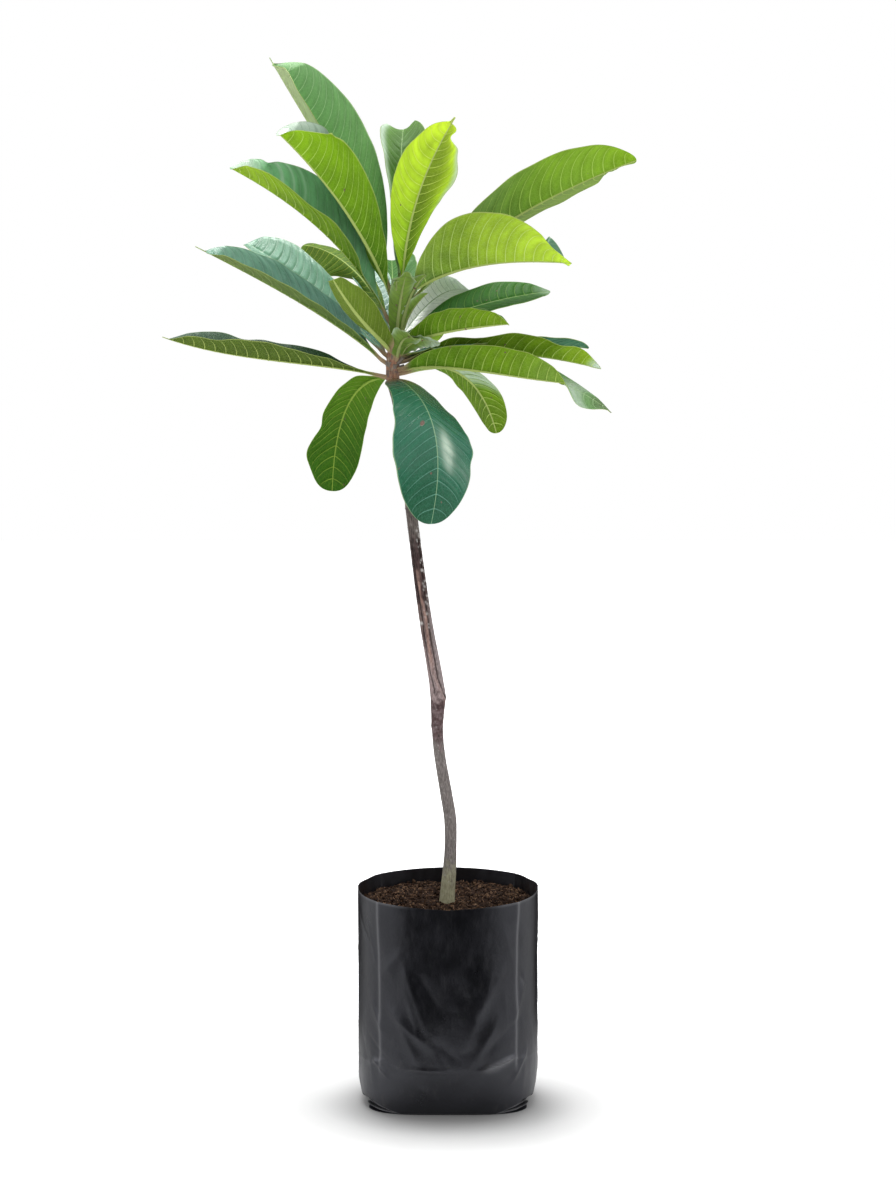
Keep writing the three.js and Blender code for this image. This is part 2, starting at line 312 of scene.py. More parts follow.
def trunkAt(z):
    # centre (x, y) and radius at each height, on a smooth curve through the path
    path = np.array(trunkPath)
    z = np.atleast_1d(np.asarray(z, float))
    last = len(path) - 1
    i = np.clip(np.searchsorted(path[:, 0], z, side="right") - 1, 0, last - 1)
    start, end = path[i], path[i + 1]
    before, after = path[np.maximum(i - 1, 0)], path[np.minimum(i + 2, last)]
    span = (end[:, 0] - start[:, 0])[:, None]
    t = np.clip((z - start[:, 0])[:, None] / span, 0, 1)
    startSlope = (end - before)[:, 1:] / (end - before)[:, :1]
    endSlope = (after - start)[:, 1:] / (after - start)[:, :1]
    through = (
        (2 * t**3 - 3 * t**2 + 1) * start[:, 1:] + (t**3 - 2 * t**2 + t) * span * startSlope
        + (3 * t**2 - 2 * t**3) * end[:, 1:] + (t**3 - t**2) * span * endSlope
    )
    return through[:, 0], through[:, 1], through[:, 2]


# Leaves: the source's own rule and numbers, in millimetres and degrees
usualLeaf = dict(
    petioleShare=0.07, petioleHalfWidth=1.7, widest=0.62, baseTaper=1.15, blunt=0.6, dripTip=0,
    lift=(0, 0), sway=(0, 0), roll=0, twist=0, fold=25, cup=0, wave=0, waves=2.5, tone="green",
    ripple=0.9, quilt=0.5, slant=0.11, slantCurve=2.0,
)
leafRule = dict(
    rollStart=0.25, openedAt=0.55, wavePhases=(3.6, 0.9), clearance=0.3, sunk=1.2,
    rows=168, columns=44, rowCrowding=1.35, columnCrowding=1.35, tipHalfWidth=0.3,
    coarseBelow=100, pointGrowth=90, veinFade=0.08,
)
bladeDetail = dict(
    thickness=0.45, ribHeight=2.2, ribHalfWidth=1.6, veinHeight=0.25, footSwell=1.5,
    outline=0.008, veinsPerMillimetre=0.052, fewestVeins=9,
)


def leafOf(name, foot, heading, reach, climb, width, **own):
    # foot: its height on the trunk; reach and climb: from there to the tip, out and up
    return dict(usualLeaf, name=name, foot=foot, heading=heading, reach=reach, climb=climb, width=width, **own)


# Touches work near one place of a leaf: each has a side (1 or -1, 0 for both), a place from foot to
# tip, a spread and a size. bite takes from the margin, swing folds it, upturn lifts it. The touch for
# painted sheen lightens, and where its size is below nought it paints shade; the rim touch paints a
# paler margin, partly the leaf's own paler edge and partly painted sheen; gleam is a painted highlight,
# and painted shade below nought; dull greys
leaves = [
    leafOf("crest_left", 850, 166, 134, 250, 98, tone="dusty", lift=(12, 3), roll=24, fold=52, cup=-12,
           blunt=0.48, widest=0.64, dripTip=0.03, ripple=0.4, quilt=0.3, slant=0.17,
           bite=[(-1, 0.95, 0.09, -0.2), (1, 0.93, 0.08, 0.3)]),
    leafOf("crest_front", 858, -58, 106, 170, 68, tone="lime", slant=0.14, lift=(14, 12), sway=(-4, -5), roll=8,
           fold=15, blunt=0.65, dripTip=0.04, ripple=0.8, bite=[(-1, 0.45, 0.3, 0.16), (1, 0.87, 0.045, 0.5),
           (1, 0.62, 0.1, -0.12), (1, 0.4, 0.2, 0.12)], swing=[(1, 0.62, 0.25, -8)], upturn=[(1, 0.76, 0.06, 4),
           (-1, 0.93, 0.05, 4)], pale=[(1, 0.45, 0.6, -0.7), (1, 0.85, 0.2, -0.1)],
           rimPale=[(1, 0.55, 0.35, 1.5)], gleam=[(-1, 0.8, 0.06, -0.3)]),
    leafOf("crest_rear", 862, 88, 78, 168, 74, tone="crest", lift=(14, 34), roll=-20, twist=60, fold=42,
           blunt=0.5, widest=0.68, rimPale=[(1, 0.6, 0.6, 1.4)], pale=[(0, 0.5, 1, -0.2)],
           bite=[(1, 0.6, 0.3, 0.25)]),
    leafOf("upper_left_front", 846, -138, 149, 164, 86, ripple=0.4, quilt=0.35, lift=(11, 12), roll=-18,
           fold=66, cup=-18, blunt=0.45, widest=0.66, tone="bright", slant=0.17, swing=[(-1, 0.88, 0.22, 58),
           (1, 0.92, 0.16, -36)], bite=[(-1, 0.93, 0.12, -0.3), (1, 0.98, 0.07, 0.35)],
           upturn=[(1, 0.85, 0.012, 3)], pale=[(-1, 0.95, 0.3, 0.95)]),
    leafOf("upper_left", 826, -176, 165, 158, 78, tone="shaded", ripple=0.5, lift=(19, 15), roll=33, fold=52,
           blunt=0.5, wave=3, quilt=0.8, slant=0.13, bite=[(-1, 0.87, 0.022, 0.3), (-1, 0.62, 0.18, 0.1),
           (1, 0.97, 0.05, 0.25)], swing=[(-1, 1.0, 0.13, -30)], pale=[(-1, 0.98, 0.11, 0.95),
           (-1, 0.76, 0.012, 0.5), (-1, 0.7, 0.01, 0.4), (-1, 0.64, 0.012, 0.3)]),
    # its dull far half is painted shade
    leafOf("upper_right_rear", 840, 12, 252, 156, 80, ripple=0.5, quilt=0.35, lift=(18, 13), roll=50, fold=35,
           blunt=0.5, widest=0.64, tone="bright", slant=0.14, swing=[(1, 0.6, 0.5, -2)],
           bite=[(1, 0.9, 0.02, 0.35), (1, 0.97, 0.05, 0.5), (-1, 1.0, 0.06, 0.3)], dull=[(1, 0.6, 0.6, 0.8)],
           pale=[(-1, 0.8, 0.25, 0.1), (-1, 0.3, 0.25, 0.2)]),
    leafOf("upper_right_front", 852, -22, 186, 33, 112, ripple=0.25, quilt=0.3, lift=(17, 11), roll=38, fold=44,
           blunt=0.95, widest=0.42, baseTaper=0.95, tone="glowing", slant=0.13, swing=[(1, 0.9, 0.15, 55)],
           bite=[(1, 0.88, 0.1, -0.9), (-1, 0.45, 0.3, 0.07), (-1, 0.88, 0.08, 0.48), (1, 0.28, 0.22, 0.7)],
           upturn=[(1, 0.88, 0.07, 6)], dull=[(0, 0.08, 0.16, 0.35)], pale=[(0, 0.35, 0.25, -0.25)]),
    leafOf("upper_rear", 838, 52, 170, 62, 64, lift=(12, 12)),
    leafOf("mid_left", 785, -170, 197, 118, 72, tone="teal", quilt=0.8, lift=(8, 4), roll=21, fold=30,
           dripTip=0.05, ripple=0.5, petioleShare=0.03, baseTaper=0.8, bite=[(-1, 0.45, 0.28, 0.3)]),
    leafOf("mid_left_rear", 792, 152, 172, 118, 66, tone="banded", quilt=0.9, lift=(4, 6), roll=20, blunt=0.45,
           widest=0.72, ripple=0.5, petioleShare=0.02, baseTaper=0.6, bite=[(-1, 0.48, 0.3, 0.3)]),
    leafOf("mid_left_front", 797, -111, 150, 70, 46, quilt=0.4, ripple=0.6, lift=(-1, -2), sway=(-4, -3),
           roll=-25, fold=58, widest=0.52, tone="olive", petioleShare=0.02, baseTaper=0.5,
           bite=[(1, 0.85, 0.15, 0.25), (1, 0.35, 0.3, -0.35), (-1, 0.3, 0.3, -0.3)]),
    leafOf("mid_left_drooping", 822, 127, 166, 88, 54, lift=(16, 18), roll=30, fold=-20, blunt=0.5, tone="aged",
           swing=[(1, 0.85, 0.2, -25)], bite=[(1, 0.42, 0.2, 0.8), (-1, 0.6, 0.4, 0.35), (1, 0.8, 0.14, -0.4)]),
    leafOf("mid_left_small", 812, 112, 120, 84, 44, lift=(6, 12), fold=10, tone="teal"),
    leafOf("mid_rear", 803, 92, 190, 92, 64, lift=(12, 12), fold=35),
    leafOf("mid_right", 810, 22, 171, 49, 60, lift=(8, 6), tone="deep", roll=-26, fold=14, blunt=0.75,
           petioleShare=0.04, quilt=0.7, bite=[(1, 0.5, 0.25, 0.12)], pale=[(0, 0.98, 0.08, 0.4)]),
    leafOf("mid_right_front", 800, -32, 132, 24, 48, lift=(6, 3), roll=38, fold=42, widest=0.5,
           petioleShare=0.04, baseTaper=0.8, bite=[(-1, 0.75, 0.25, 0.25)], swing=[(1, 0.7, 0.3, 58)]),
    # its near-white is a painted reflection of the sky on a glossy leaf
    leafOf("mid_right_rear", 806, 55, 134, 54, 62, tone="silverSheen", quilt=0.7, lift=(10, 19), roll=-26, fold=16,
           bite=[(1, 0.35, 0.45, 0.3)], pale=[(0, 0.4, 0.6, 2)]),
    leafOf("low_left", 771, -175, 231, 40, 55, lift=(2, -9), slant=0.05, roll=6, fold=40, dripTip=0.03, wave=2,
           waves=2, tone="olive", baseTaper=0.85, petioleHalfWidth=2.1, pale=[(0, 0.5, 1, -0.5)]),
    leafOf("low_right_front", 778, -14, 176, -14, 56, quilt=0.6, slant=0.05, lift=(8, 0), roll=40, fold=45,
           petioleShare=0.01, petioleHalfWidth=4.4, baseTaper=0.6, ripple=0.5, pale=[(-1, 0.92, 0.2, 0.14)]),
    leafOf("low_right", 786, 14, 220, -9, 50, lift=(13, 10), petioleShare=0.01, petioleHalfWidth=3,
           baseTaper=0.6, roll=20, fold=30, blunt=0.7, wave=3, waves=3, slant=0.05, tone="shaded",
           pale=[(-1, 0.4, 0.6, -0.35), (0, 1.0, 0.07, 1.3)]),
    leafOf("low_right_rear", 792, 32, 241, 6, 42, lift=(3, 8), blunt=0.5, tone="glossy", petioleShare=0.02,
           baseTaper=0.7),
    leafOf("low_right_drooping", 774, 8, 226, -43, 50, petioleShare=0.01, lift=(20, 26), fold=30, tone="dusty",
           baseTaper=0.6, dull=[(0, 0.97, 0.14, 0.35)], pale=[(0, 0.97, 0.14, -0.5), (0, 0.8, 0.09, 0.8),
           (0, 1.0, 0.1, -0.3)], bite=[(0, 0.88, 0.1, 0.35)], swing=[(-1, 0.88, 0.14, -80),
           (1, 0.88, 0.14, -10)]),
    leafOf("low_rear", 783, 80, 205, 20, 74, lift=(22, 20), fold=20),
    leafOf("hanging_left", 770, 127, 106, -126, 58, slant=0.19, slantCurve=1.25, tone="deep", lift=(42, 42),
           sway=(-9, -8), roll=-22, fold=6, blunt=0.42, widest=0.78, baseTaper=0.6, petioleShare=0.03,
           quilt=0.8, pale=[(0, 0.8, 0.3, -0.1)], bite=[(1, 0.45, 0.3, 0.26), (1, 0.69, 0.06, 0.16),
           (1, 0.84, 0.06, -0.12), (-1, 0.55, 0.3, -0.06)]),
    # its gleam is a painted highlight on the right half
    leafOf("hanging_front", 768, -70, 112, -144, 92, slant=0.19, slantCurve=1.25, tone="glossy", lift=(42, 54),
           sway=(0, 8), roll=18, fold=-8, blunt=0.42, widest=0.7, ripple=1.2, quilt=0.45, baseTaper=0.5,
           petioleShare=0.01, petioleHalfWidth=4, spots=[(0.5, -0.26, 3.4)], upturn=[(1, 0.8, 0.1, -5),
           (1, 0.6, 0.1, 4), (1, 0.7, 0.05, 3)], bite=[(-1, 0.3, 0.2, 0.12), (-1, 0.75, 0.15, -0.12),
           (1, 0.86, 0.12, -0.22)], gleam=[(1, 0.64, 0.12, 0.65)], pale=[(0, 0.92, 0.25, -0.35),
           (1, 0.7, 0.16, 0.32), (1, 0.2, 0.16, -0.4)]),
    leafOf("hanging_right", 777, 37, 131, -70, 50, slant=0.19, slantCurve=1.25, lift=(28, 32), roll=30,
           blunt=0.45, widest=0.72, petioleShare=0.01, petioleHalfWidth=2.5, baseTaper=0.7,
           bite=[(-1, 0.45, 0.36, 0.72)], pale=[(-1, 0.33, 0.3, 1.7), (0, 0.85, 0.35, -0.4)]),
    leafOf("young_broad", 805, -70, 34, 72, 26, lift=(6, 6), roll=10, fold=28, tone="young", blunt=0.3,
           widest=0.8, baseTaper=0.4, petioleShare=0.02, ripple=0.5, quilt=0.2, swing=[(0, 1.0, 0.14, -70)],
           rimPale=[(0, 0.9, 0.4, 0.6)]),
    leafOf("young_flared", 788, -62, 44, 20, 30, lift=(10, 10), roll=10, fold=30, tone="young", baseTaper=0.5,
           quilt=0.2, petioleShare=0.02, petioleHalfWidth=3, swing=[(1, 0.6, 0.4, -40)],
           rimPale=[(0, 0.6, 0.6, 0.6)]),
    leafOf("young_slim", 826, -88, 26, 42, 14, lift=(5, 5), fold=30, tone="young", quilt=0.2,
           rimPale=[(0, 0.6, 0.6, 0.8)]),
]

# Small leaves between the large ones, too small to be parts of their own
smallLeaves = [
    leafOf("inner_collar", 790, -30, 50, 14, 22, lift=(10, 8), roll=35, fold=-10, tone="young", baseTaper=0.4,
           petioleShare=0.02, petioleHalfWidth=4, quilt=0.2, rimPale=[(0, 0.6, 0.6, 0.6)],
           pale=[(0, 0.95, 0.3, 0.6)]),
    leafOf("inner_right", 792, 6, 92, 12, 30, lift=(2, 2), roll=20, fold=-20, tone="teal", baseTaper=0.6,
           petioleShare=0.03),
    leafOf("inner_upright", 812, -40, 36, 62, 20, lift=(4, 8), roll=20, fold=40, tone="young", baseTaper=0.5,
           petioleShare=0.03, quilt=0.2, rimPale=[(0, 0.6, 0.6, 0.6)]),
    leafOf("inner_middle", 802, -18, 30, 54, 20, lift=(6, 6), roll=10, fold=30, tone="young", baseTaper=0.45,
           petioleShare=0.03, quilt=0.2, rimPale=[(0, 0.6, 0.6, 0.6)]),
]

# Colours of each kind of leaf: upper and under side, each from foot to tip, their veins, and where it
# isn't the usual one, roughness and shine above
# Partly the leaves' own colours and partly painted light: the bright tips of the under sides paint light shining
# through the blade, the darker feet partly paint shade, and several tones are lighter and darker copies matched to the
# light on each leaf
leafTones = {
    "lime": dict(upper=[(0.22, 0.46, 0.003), (0.54, 0.8, 0.004)], under=[(0.11, 0.33, 0.003), (0.68, 0.95, 0.035)],
                 veins=[(0.52, 0.68, 0.1), (0.62, 0.8, 0.14)], gloss=(0.5, 0.2)),
    "bright": dict(upper=[(0.02, 0.09, 0.04), (0.07, 0.19, 0.1)], under=[(0.02, 0.1, 0.0015), (0.25, 0.48, 0.005)],
                   veins=[(0.2, 0.34, 0.2), (0.5, 0.74, 0.14)]),
    "glowing": dict(upper=[(0.03, 0.12, 0.06), (0.05, 0.16, 0.08)], under=[(0.045, 0.16, 0.02), (0.64, 0.94, 0.045)],
                    veins=[(0.2, 0.34, 0.2), (0.66, 0.86, 0.26)]),
    "shaded": dict(upper=[(0.09, 0.28, 0.11), (0.22, 0.5, 0.24)], under=[(0.03, 0.12, 0.003), (0.32, 0.53, 0.008)],
                   veins=[(0.26, 0.42, 0.27), (0.6, 0.78, 0.2)], gloss=(0.42, 0.25)),
    "green": dict(upper=[(0.02, 0.11, 0.015), (0.045, 0.17, 0.02)], under=[(0.06, 0.17, 0.004), (0.19, 0.35, 0.006)],
                  veins=[(0.2, 0.38, 0.08), (0.52, 0.7, 0.16)]),
    "deep": dict(upper=[(0.02, 0.11, 0.012), (0.04, 0.15, 0.02)], under=[(0.1, 0.23, 0.002), (0.035, 0.15, 0.01)],
                 veins=[(0.17, 0.32, 0.06), (0.3, 0.47, 0.06)], rib=(0.28, 0.42, 0.06), gloss=(0.5, 0.1)),
    "dusty": dict(upper=[(0.15, 0.36, 0.1), (0.17, 0.37, 0.13)], under=[(0.28, 0.42, 0.12), (0.48, 0.6, 0.3)],
                  veins=[(0.46, 0.7, 0.36), (0.6, 0.7, 0.42)], gloss=(0.5, 0.25)),
    "crest": dict(upper=[(0.04, 0.12, 0.03), (0.11, 0.25, 0.03)], under=[(0.06, 0.16, 0.03), (0.14, 0.3, 0.04)],
                  veins=[(0.26, 0.44, 0.19), (0.3, 0.44, 0.14)]),
    "teal": dict(upper=[(0.07, 0.21, 0.16), (0.17, 0.35, 0.25)], under=[(0.08, 0.17, 0.02), (0.2, 0.28, 0.08)],
                 veins=[(0.26, 0.42, 0.34), (0.3, 0.42, 0.14)], gloss=(0.3, 0.45)),
    "banded": dict(upper=[(0.13, 0.34, 0.24), (0.17, 0.34, 0.23)], under=[(0.08, 0.17, 0.02), (0.2, 0.28, 0.08)],
                   veins=[(0.42, 0.56, 0.46), (0.3, 0.42, 0.14)], gloss=(0.3, 0.5)),
    "glossy": dict(upper=[(0.012, 0.15, 0.085), (0.01, 0.12, 0.055)], under=[(0.03, 0.12, 0.05), (0.05, 0.17, 0.09)],
                   veins=[(0.13, 0.36, 0.26), (0.2, 0.38, 0.2)], gloss=(0.2, 0.4)),
    "silverSheen": dict(upper=[(0.8, 0.88, 0.84), (0.6, 0.76, 0.68)], under=[(0.5, 0.62, 0.5), (0.5, 0.62, 0.5)],
                   veins=[(0.03, 0.12, 0.08), (0.1, 0.2, 0.1)], gloss=(0.3, 1.0)),
    "olive": dict(upper=[(0.03, 0.07, 0.03), (0.05, 0.12, 0.07)], under=[(0.1, 0.165, 0.011), (0.15, 0.25, 0.018)],
                  veins=[(0.12, 0.24, 0.14), (0.44, 0.54, 0.14)], gloss=(0.45, 0.2)),
    "aged": dict(upper=[(0.05, 0.13, 0.008), (0.07, 0.14, 0.008)], under=[(0.1, 0.2, 0.015), (0.12, 0.22, 0.015)],
                 veins=[(0.42, 0.5, 0.06), (0.36, 0.45, 0.1)], gloss=(0.6, 0.15)),
    "young": dict(upper=[(0.12, 0.23, 0.03), (0.24, 0.37, 0.08)], under=[(0.11, 0.21, 0.022), (0.22, 0.35, 0.06)],
                  veins=[(0.2, 0.27, 0.09), (0.22, 0.27, 0.1)], rib=(0.3, 0.36, 0.13), gloss=(0.55, 0.2)),
}
leafFinish = dict(
    gloss=(0.36, 0.45), underGloss=(0.55, 0.15), veinStrength=(0.8, 0.85), relief=(0.45, 0.3), reliefDepth=0.3,
    ribTint=(0.4, 0.52, 0.24), underRib=(0.4, 0.49, 0.14), petiole=(0.22, 0.15, 0.08), underPetiole=(0.33, 0.235, 0.14),
    # painted sheen, a whiter painted sheen and painted shade, then the grey of dull parts and dry specks
    paled=rgb(0.55, 0.68, 0.55), whiteSheen=rgb(0.85, 0.9, 0.84), shaded=rgb(0.01, 0.035, 0.005),
    dulled=rgb(0.24, 0.3, 0.12), speck=rgb(0.16, 0.1, 0.075),
)


def midribOf(leaf):
    # the four points of the midrib's curve, and the level direction across it
    heading = math.radians(leaf["heading"])
    out = np.array([math.cos(heading), math.sin(heading), 0])
    side = np.array([-math.sin(heading), math.cos(heading), 0])
    chord = out * leaf["reach"] + np.array([0, 0, leaf["climb"]])
    above = np.cross(chord / np.linalg.norm(chord), side)
    x, y, radius = (part[0] for part in trunkAt(leaf["foot"]))

    def bend(place):
        return chord * (place + 1) / 3 + 1.5 * (above * leaf["lift"][place] + side * leaf["sway"][place])

    foot = np.array([x, y, leaf["foot"]]) + out * (radius + leafRule["clearance"])
    return np.array([foot, foot + bend(0), foot + bend(1), foot + chord]), side


def halfWidthAt(leaf, along):
    bladeEnd = 1 - leaf["dripTip"]
    blade = (along - leaf["petioleShare"]) / (bladeEnd - leaf["petioleShare"])
    lower = np.sin(math.pi / 2 * np.clip(blade / leaf["widest"], 0, 1)) ** leaf["baseTaper"]
    past = np.clip((blade - leaf["widest"]) / (1 - leaf["widest"]), 0, 1)
    upper = (1 - past**2) ** leaf["blunt"]
    share = np.where(blade < leaf["widest"], lower, upper)
    point = leafRule["tipHalfWidth"] + leafRule["pointGrowth"] * (1 - along) * leaf["dripTip"]
    least = np.where(along < 0.5, leaf["petioleHalfWidth"], point)
    return np.maximum(share * leaf["width"] / 2, least)


def bladePoints(leaf, midrib, along, across):
    # the blade's middle sheet: along runs from foot to tip, across from margin to margin
    points, side = midrib
    t, s = along[:, None], 1 - along[:, None]
    place = s**3 * points[0] + 3 * s * s * t * points[1] + 3 * s * t * t * points[2] + t**3 * points[3]
    tangent = s * s * (points[1] - points[0]) + 2 * s * t * (points[2] - points[1]) + t * t * (points[3] - points[2])
    tangent /= np.linalg.norm(tangent, axis=1, keepdims=True)
    level = side - tangent * (tangent @ side)[:, None]
    level /= np.linalg.norm(level, axis=1, keepdims=True)
    upright = np.cross(tangent, level)
    started = smoothStep(along, 0, leafRule["rollStart"])
    roll = np.radians(leaf["roll"] + leaf["twist"] * (along - 0.5))[:, None] * started[:, None]
    sideways = level * np.cos(roll) - upright * np.sin(roll)
    upper = upright * np.cos(roll) + level * np.sin(roll)
    halfWidth = halfWidthAt(leaf, along)
    fullness = np.minimum(1, 2 * halfWidth / leaf["width"])
    opened = np.minimum(1, fullness / leafRule["openedAt"])
    share = np.abs(across)
    rise = np.radians(leaf["fold"] + touched(leaf, "swing", along, across)) * opened
    curl = np.radians(leaf["cup"]) * opened
    curl = np.where(np.abs(curl) < 1e-4, 1e-4, curl)
    slope = rise + curl * share
    out = halfWidth / curl * (np.sin(slope) - np.sin(rise))
    phase = np.where(across > 0, leafRule["wavePhases"][1], leafRule["wavePhases"][0])
    margin = np.sin(2 * math.pi * leaf["waves"] * along + phase)
    up = halfWidth / curl * (np.cos(rise) - np.cos(slope)) + leaf["wave"] * share**2 * fullness * margin
    ripple = leaf["ripple"] * share**2.5 * leaf["marginWander"](along, across)
    up = up + ripple * fullness + touched(leaf, "upturn", along, across) * share**2
    narrowed = 1 - touched(leaf, "bite", along, across) * share**0.5
    shift = np.sign(across) * out * narrowed * (1 + bladeDetail["outline"] * leaf["edgeWander"](along, across))
    return place + sideways * shift[:, None] + upper * up[:, None], halfWidth


def wanderer(seed, count=4, low=2.0, high=7.0):
    # a smooth seeded curve along the leaf, different on its two sides
    dice = random.Random(seed)
    terms = [(dice.uniform(low, high), dice.uniform(0, 6.28), dice.uniform(0, 6.28)) for _ in range(count)]

    def curve(along, across):
        total = 0
        for speed, left, right in terms:
            total = total + np.sin(2 * math.pi * speed * along + np.where(across > 0, right, left))
        return total / math.sqrt(count)

    return curve


def touched(leaf, kind, along, across):
    total = 0 * along
    for side, place, spread, size in leaf.get(kind, ()):
        total = total + size * bell((along - place) / spread) * (across * side > 0 if side else 1)
    return total


def makeLeaf(leaf, materials, nodes=()):
    leaf["marginWander"] = wanderer(leaf["name"] + " margin")
    leaf["edgeWander"] = wanderer(leaf["name"] + " edge", low=4, high=11)
    midrib = midribOf(leaf)
    length = math.hypot(leaf["reach"], leaf["climb"])
    share = 2 if length < leafRule["coarseBelow"] else 1
    piece = newGrid("blade_" + leaf["name"], leafRule["rows"] // share, leafRule["columns"] // share)
    flat = readVertices(piece)
    row = 1 - (1 - (flat[:, 0] + 1) / 2) ** leafRule["rowCrowding"]
    across = np.sign(flat[:, 1]) * np.abs(flat[:, 1]) ** leafRule["columnCrowding"]
    share = np.abs(across)

    def alongAt(row, across):
        # side veins leave the midrib and lean towards the tip, and the rows of faces follow them
        lean = leaf["slant"] * np.abs(across) ** leaf["slantCurve"]
        return row + lean * 4 * row * (1 - row)

    def surface(row, across):
        return bladePoints(leaf, midrib, alongAt(row, across), across)[0]

    # the sheet's own directions give the way out of its upper side
    step = 1e-3
    alongWay = surface(np.minimum(row + step, 1), across) - surface(np.maximum(row - step, 0), across)
    acrossWay = surface(row, np.clip(across + step, -1, 1)) - surface(row, np.clip(across - step, -1, 1))
    normal = np.cross(alongWay, acrossWay)
    normal /= np.maximum(np.linalg.norm(normal, axis=1, keepdims=True), 1e-12)
    sheet, halfWidth = bladePoints(leaf, midrib, alongAt(row, across), across)

    # between two side veins the blade bulges upward, and each vein stands out below
    veins = round(bladeDetail["fewestVeins"] + length * bladeDetail["veinsPerMillimetre"])
    fullness = np.minimum(1, 2 * halfWidth / leaf["width"])
    nearVein = np.abs((row * veins) % 1 - 0.5) * 2
    inBlade = smoothStep(row, leaf["petioleShare"], leaf["petioleShare"] + leafRule["veinFade"]) * fullness
    inland = smoothStep(share, 0.02, 0.12) * (1 - smoothStep(share, 0.8, 1.0))
    uneven = 1 + 0.45 * leaf["edgeWander"](row * 2, across)
    bulge = leaf["quilt"] * uneven * (1 - nearVein**3) * inBlade * inland
    fromRib = share * halfWidth
    sheet = sheet + normal * bulge[:, None]

    # thickness under the sheet: thin blade, round midrib that runs out to the tip
    ribReach = bladeDetail["ribHalfWidth"] * (1 - 0.75 * row)
    ribForm = np.sqrt(np.clip(1 - (fromRib / ribReach) ** 2, 0, 1))
    veinForm = smoothStep(nearVein, 0.8, 1.0) * (1 - smoothStep(share, 0.75, 0.98)) * inBlade
    thick = (
        bladeDetail["thickness"] + bladeDetail["ribHeight"] * (1 - 0.8 * row) * ribForm
        + bladeDetail["veinHeight"] * veinForm + bladeDetail["footSwell"] * (1 - smoothStep(row, 0, 0.1))
    )
    footward = np.clip(1 - row / 0.02, 0, 1)[:, None]
    heading = math.radians(leaf["heading"])
    sheet -= footward * leafRule["sunk"] * np.array([math.cos(heading), math.sin(heading), 0])
    writeVertices(piece, sheet * mm)
    piece.data.uv_layers[0].name = "leafMap"
    writeMap(piece, "leafMap", np.stack([row, (across + 1) / 2], 1))
    writeMap(piece, "leafVein", np.stack([row * veins, share], 1))
    writeMap(piece, "leafSpan", np.stack([row * length * mm, across * halfWidth * mm], 1))
    # painted light: a patch of painted highlight (painted shade where negative), a paler rim that is partly painted
    # sheen, and painted sheen and shade
    gleam = touched(leaf, "gleam", row, across) * bell((share - 0.3) / 0.16)
    rim = touched(leaf, "rimPale", row, across) * share**3
    writeValue(piece, "pale", touched(leaf, "pale", row, across) + rim + gleam)
    writeValue(piece, "dull", np.clip(touched(leaf, "dull", row, across), 0, 1))
    writeValue(piece, "blemish", blemishes(leaf, row * length, across * halfWidth, length))
    greatest = float(thick.max())
    depth = piece.vertex_groups.new(name="depth")
    for index, value in enumerate(thick / greatest):
        depth.add((index,), float(value), "REPLACE")
    for material in materials[leaf["tone"]]:
        piece.data.materials.append(material)
    thicken(piece, greatest, vertex_group="depth", material_offset=1, material_offset_rim=1)
    piece.vertex_groups.clear()
    finishPiece(piece, None, nodes)


def blemishes(leaf, along, across, length):
    # small dry specks, and the larger spots that a leaf names itself
    dice = random.Random(leaf["name"] + " specks")
    spots = [(dice.uniform(0.2, 0.98), dice.uniform(-1, 1), dice.uniform(0.5, 1.3)) for _ in range(5)]
    mark = 0 * along
    for place, side, size in spots + list(leaf.get("spots", [])):
        away = np.hypot(along - place * length, across - side * leaf["width"] / 2)
        mark = np.maximum(mark, bell(away / size))
    return mark


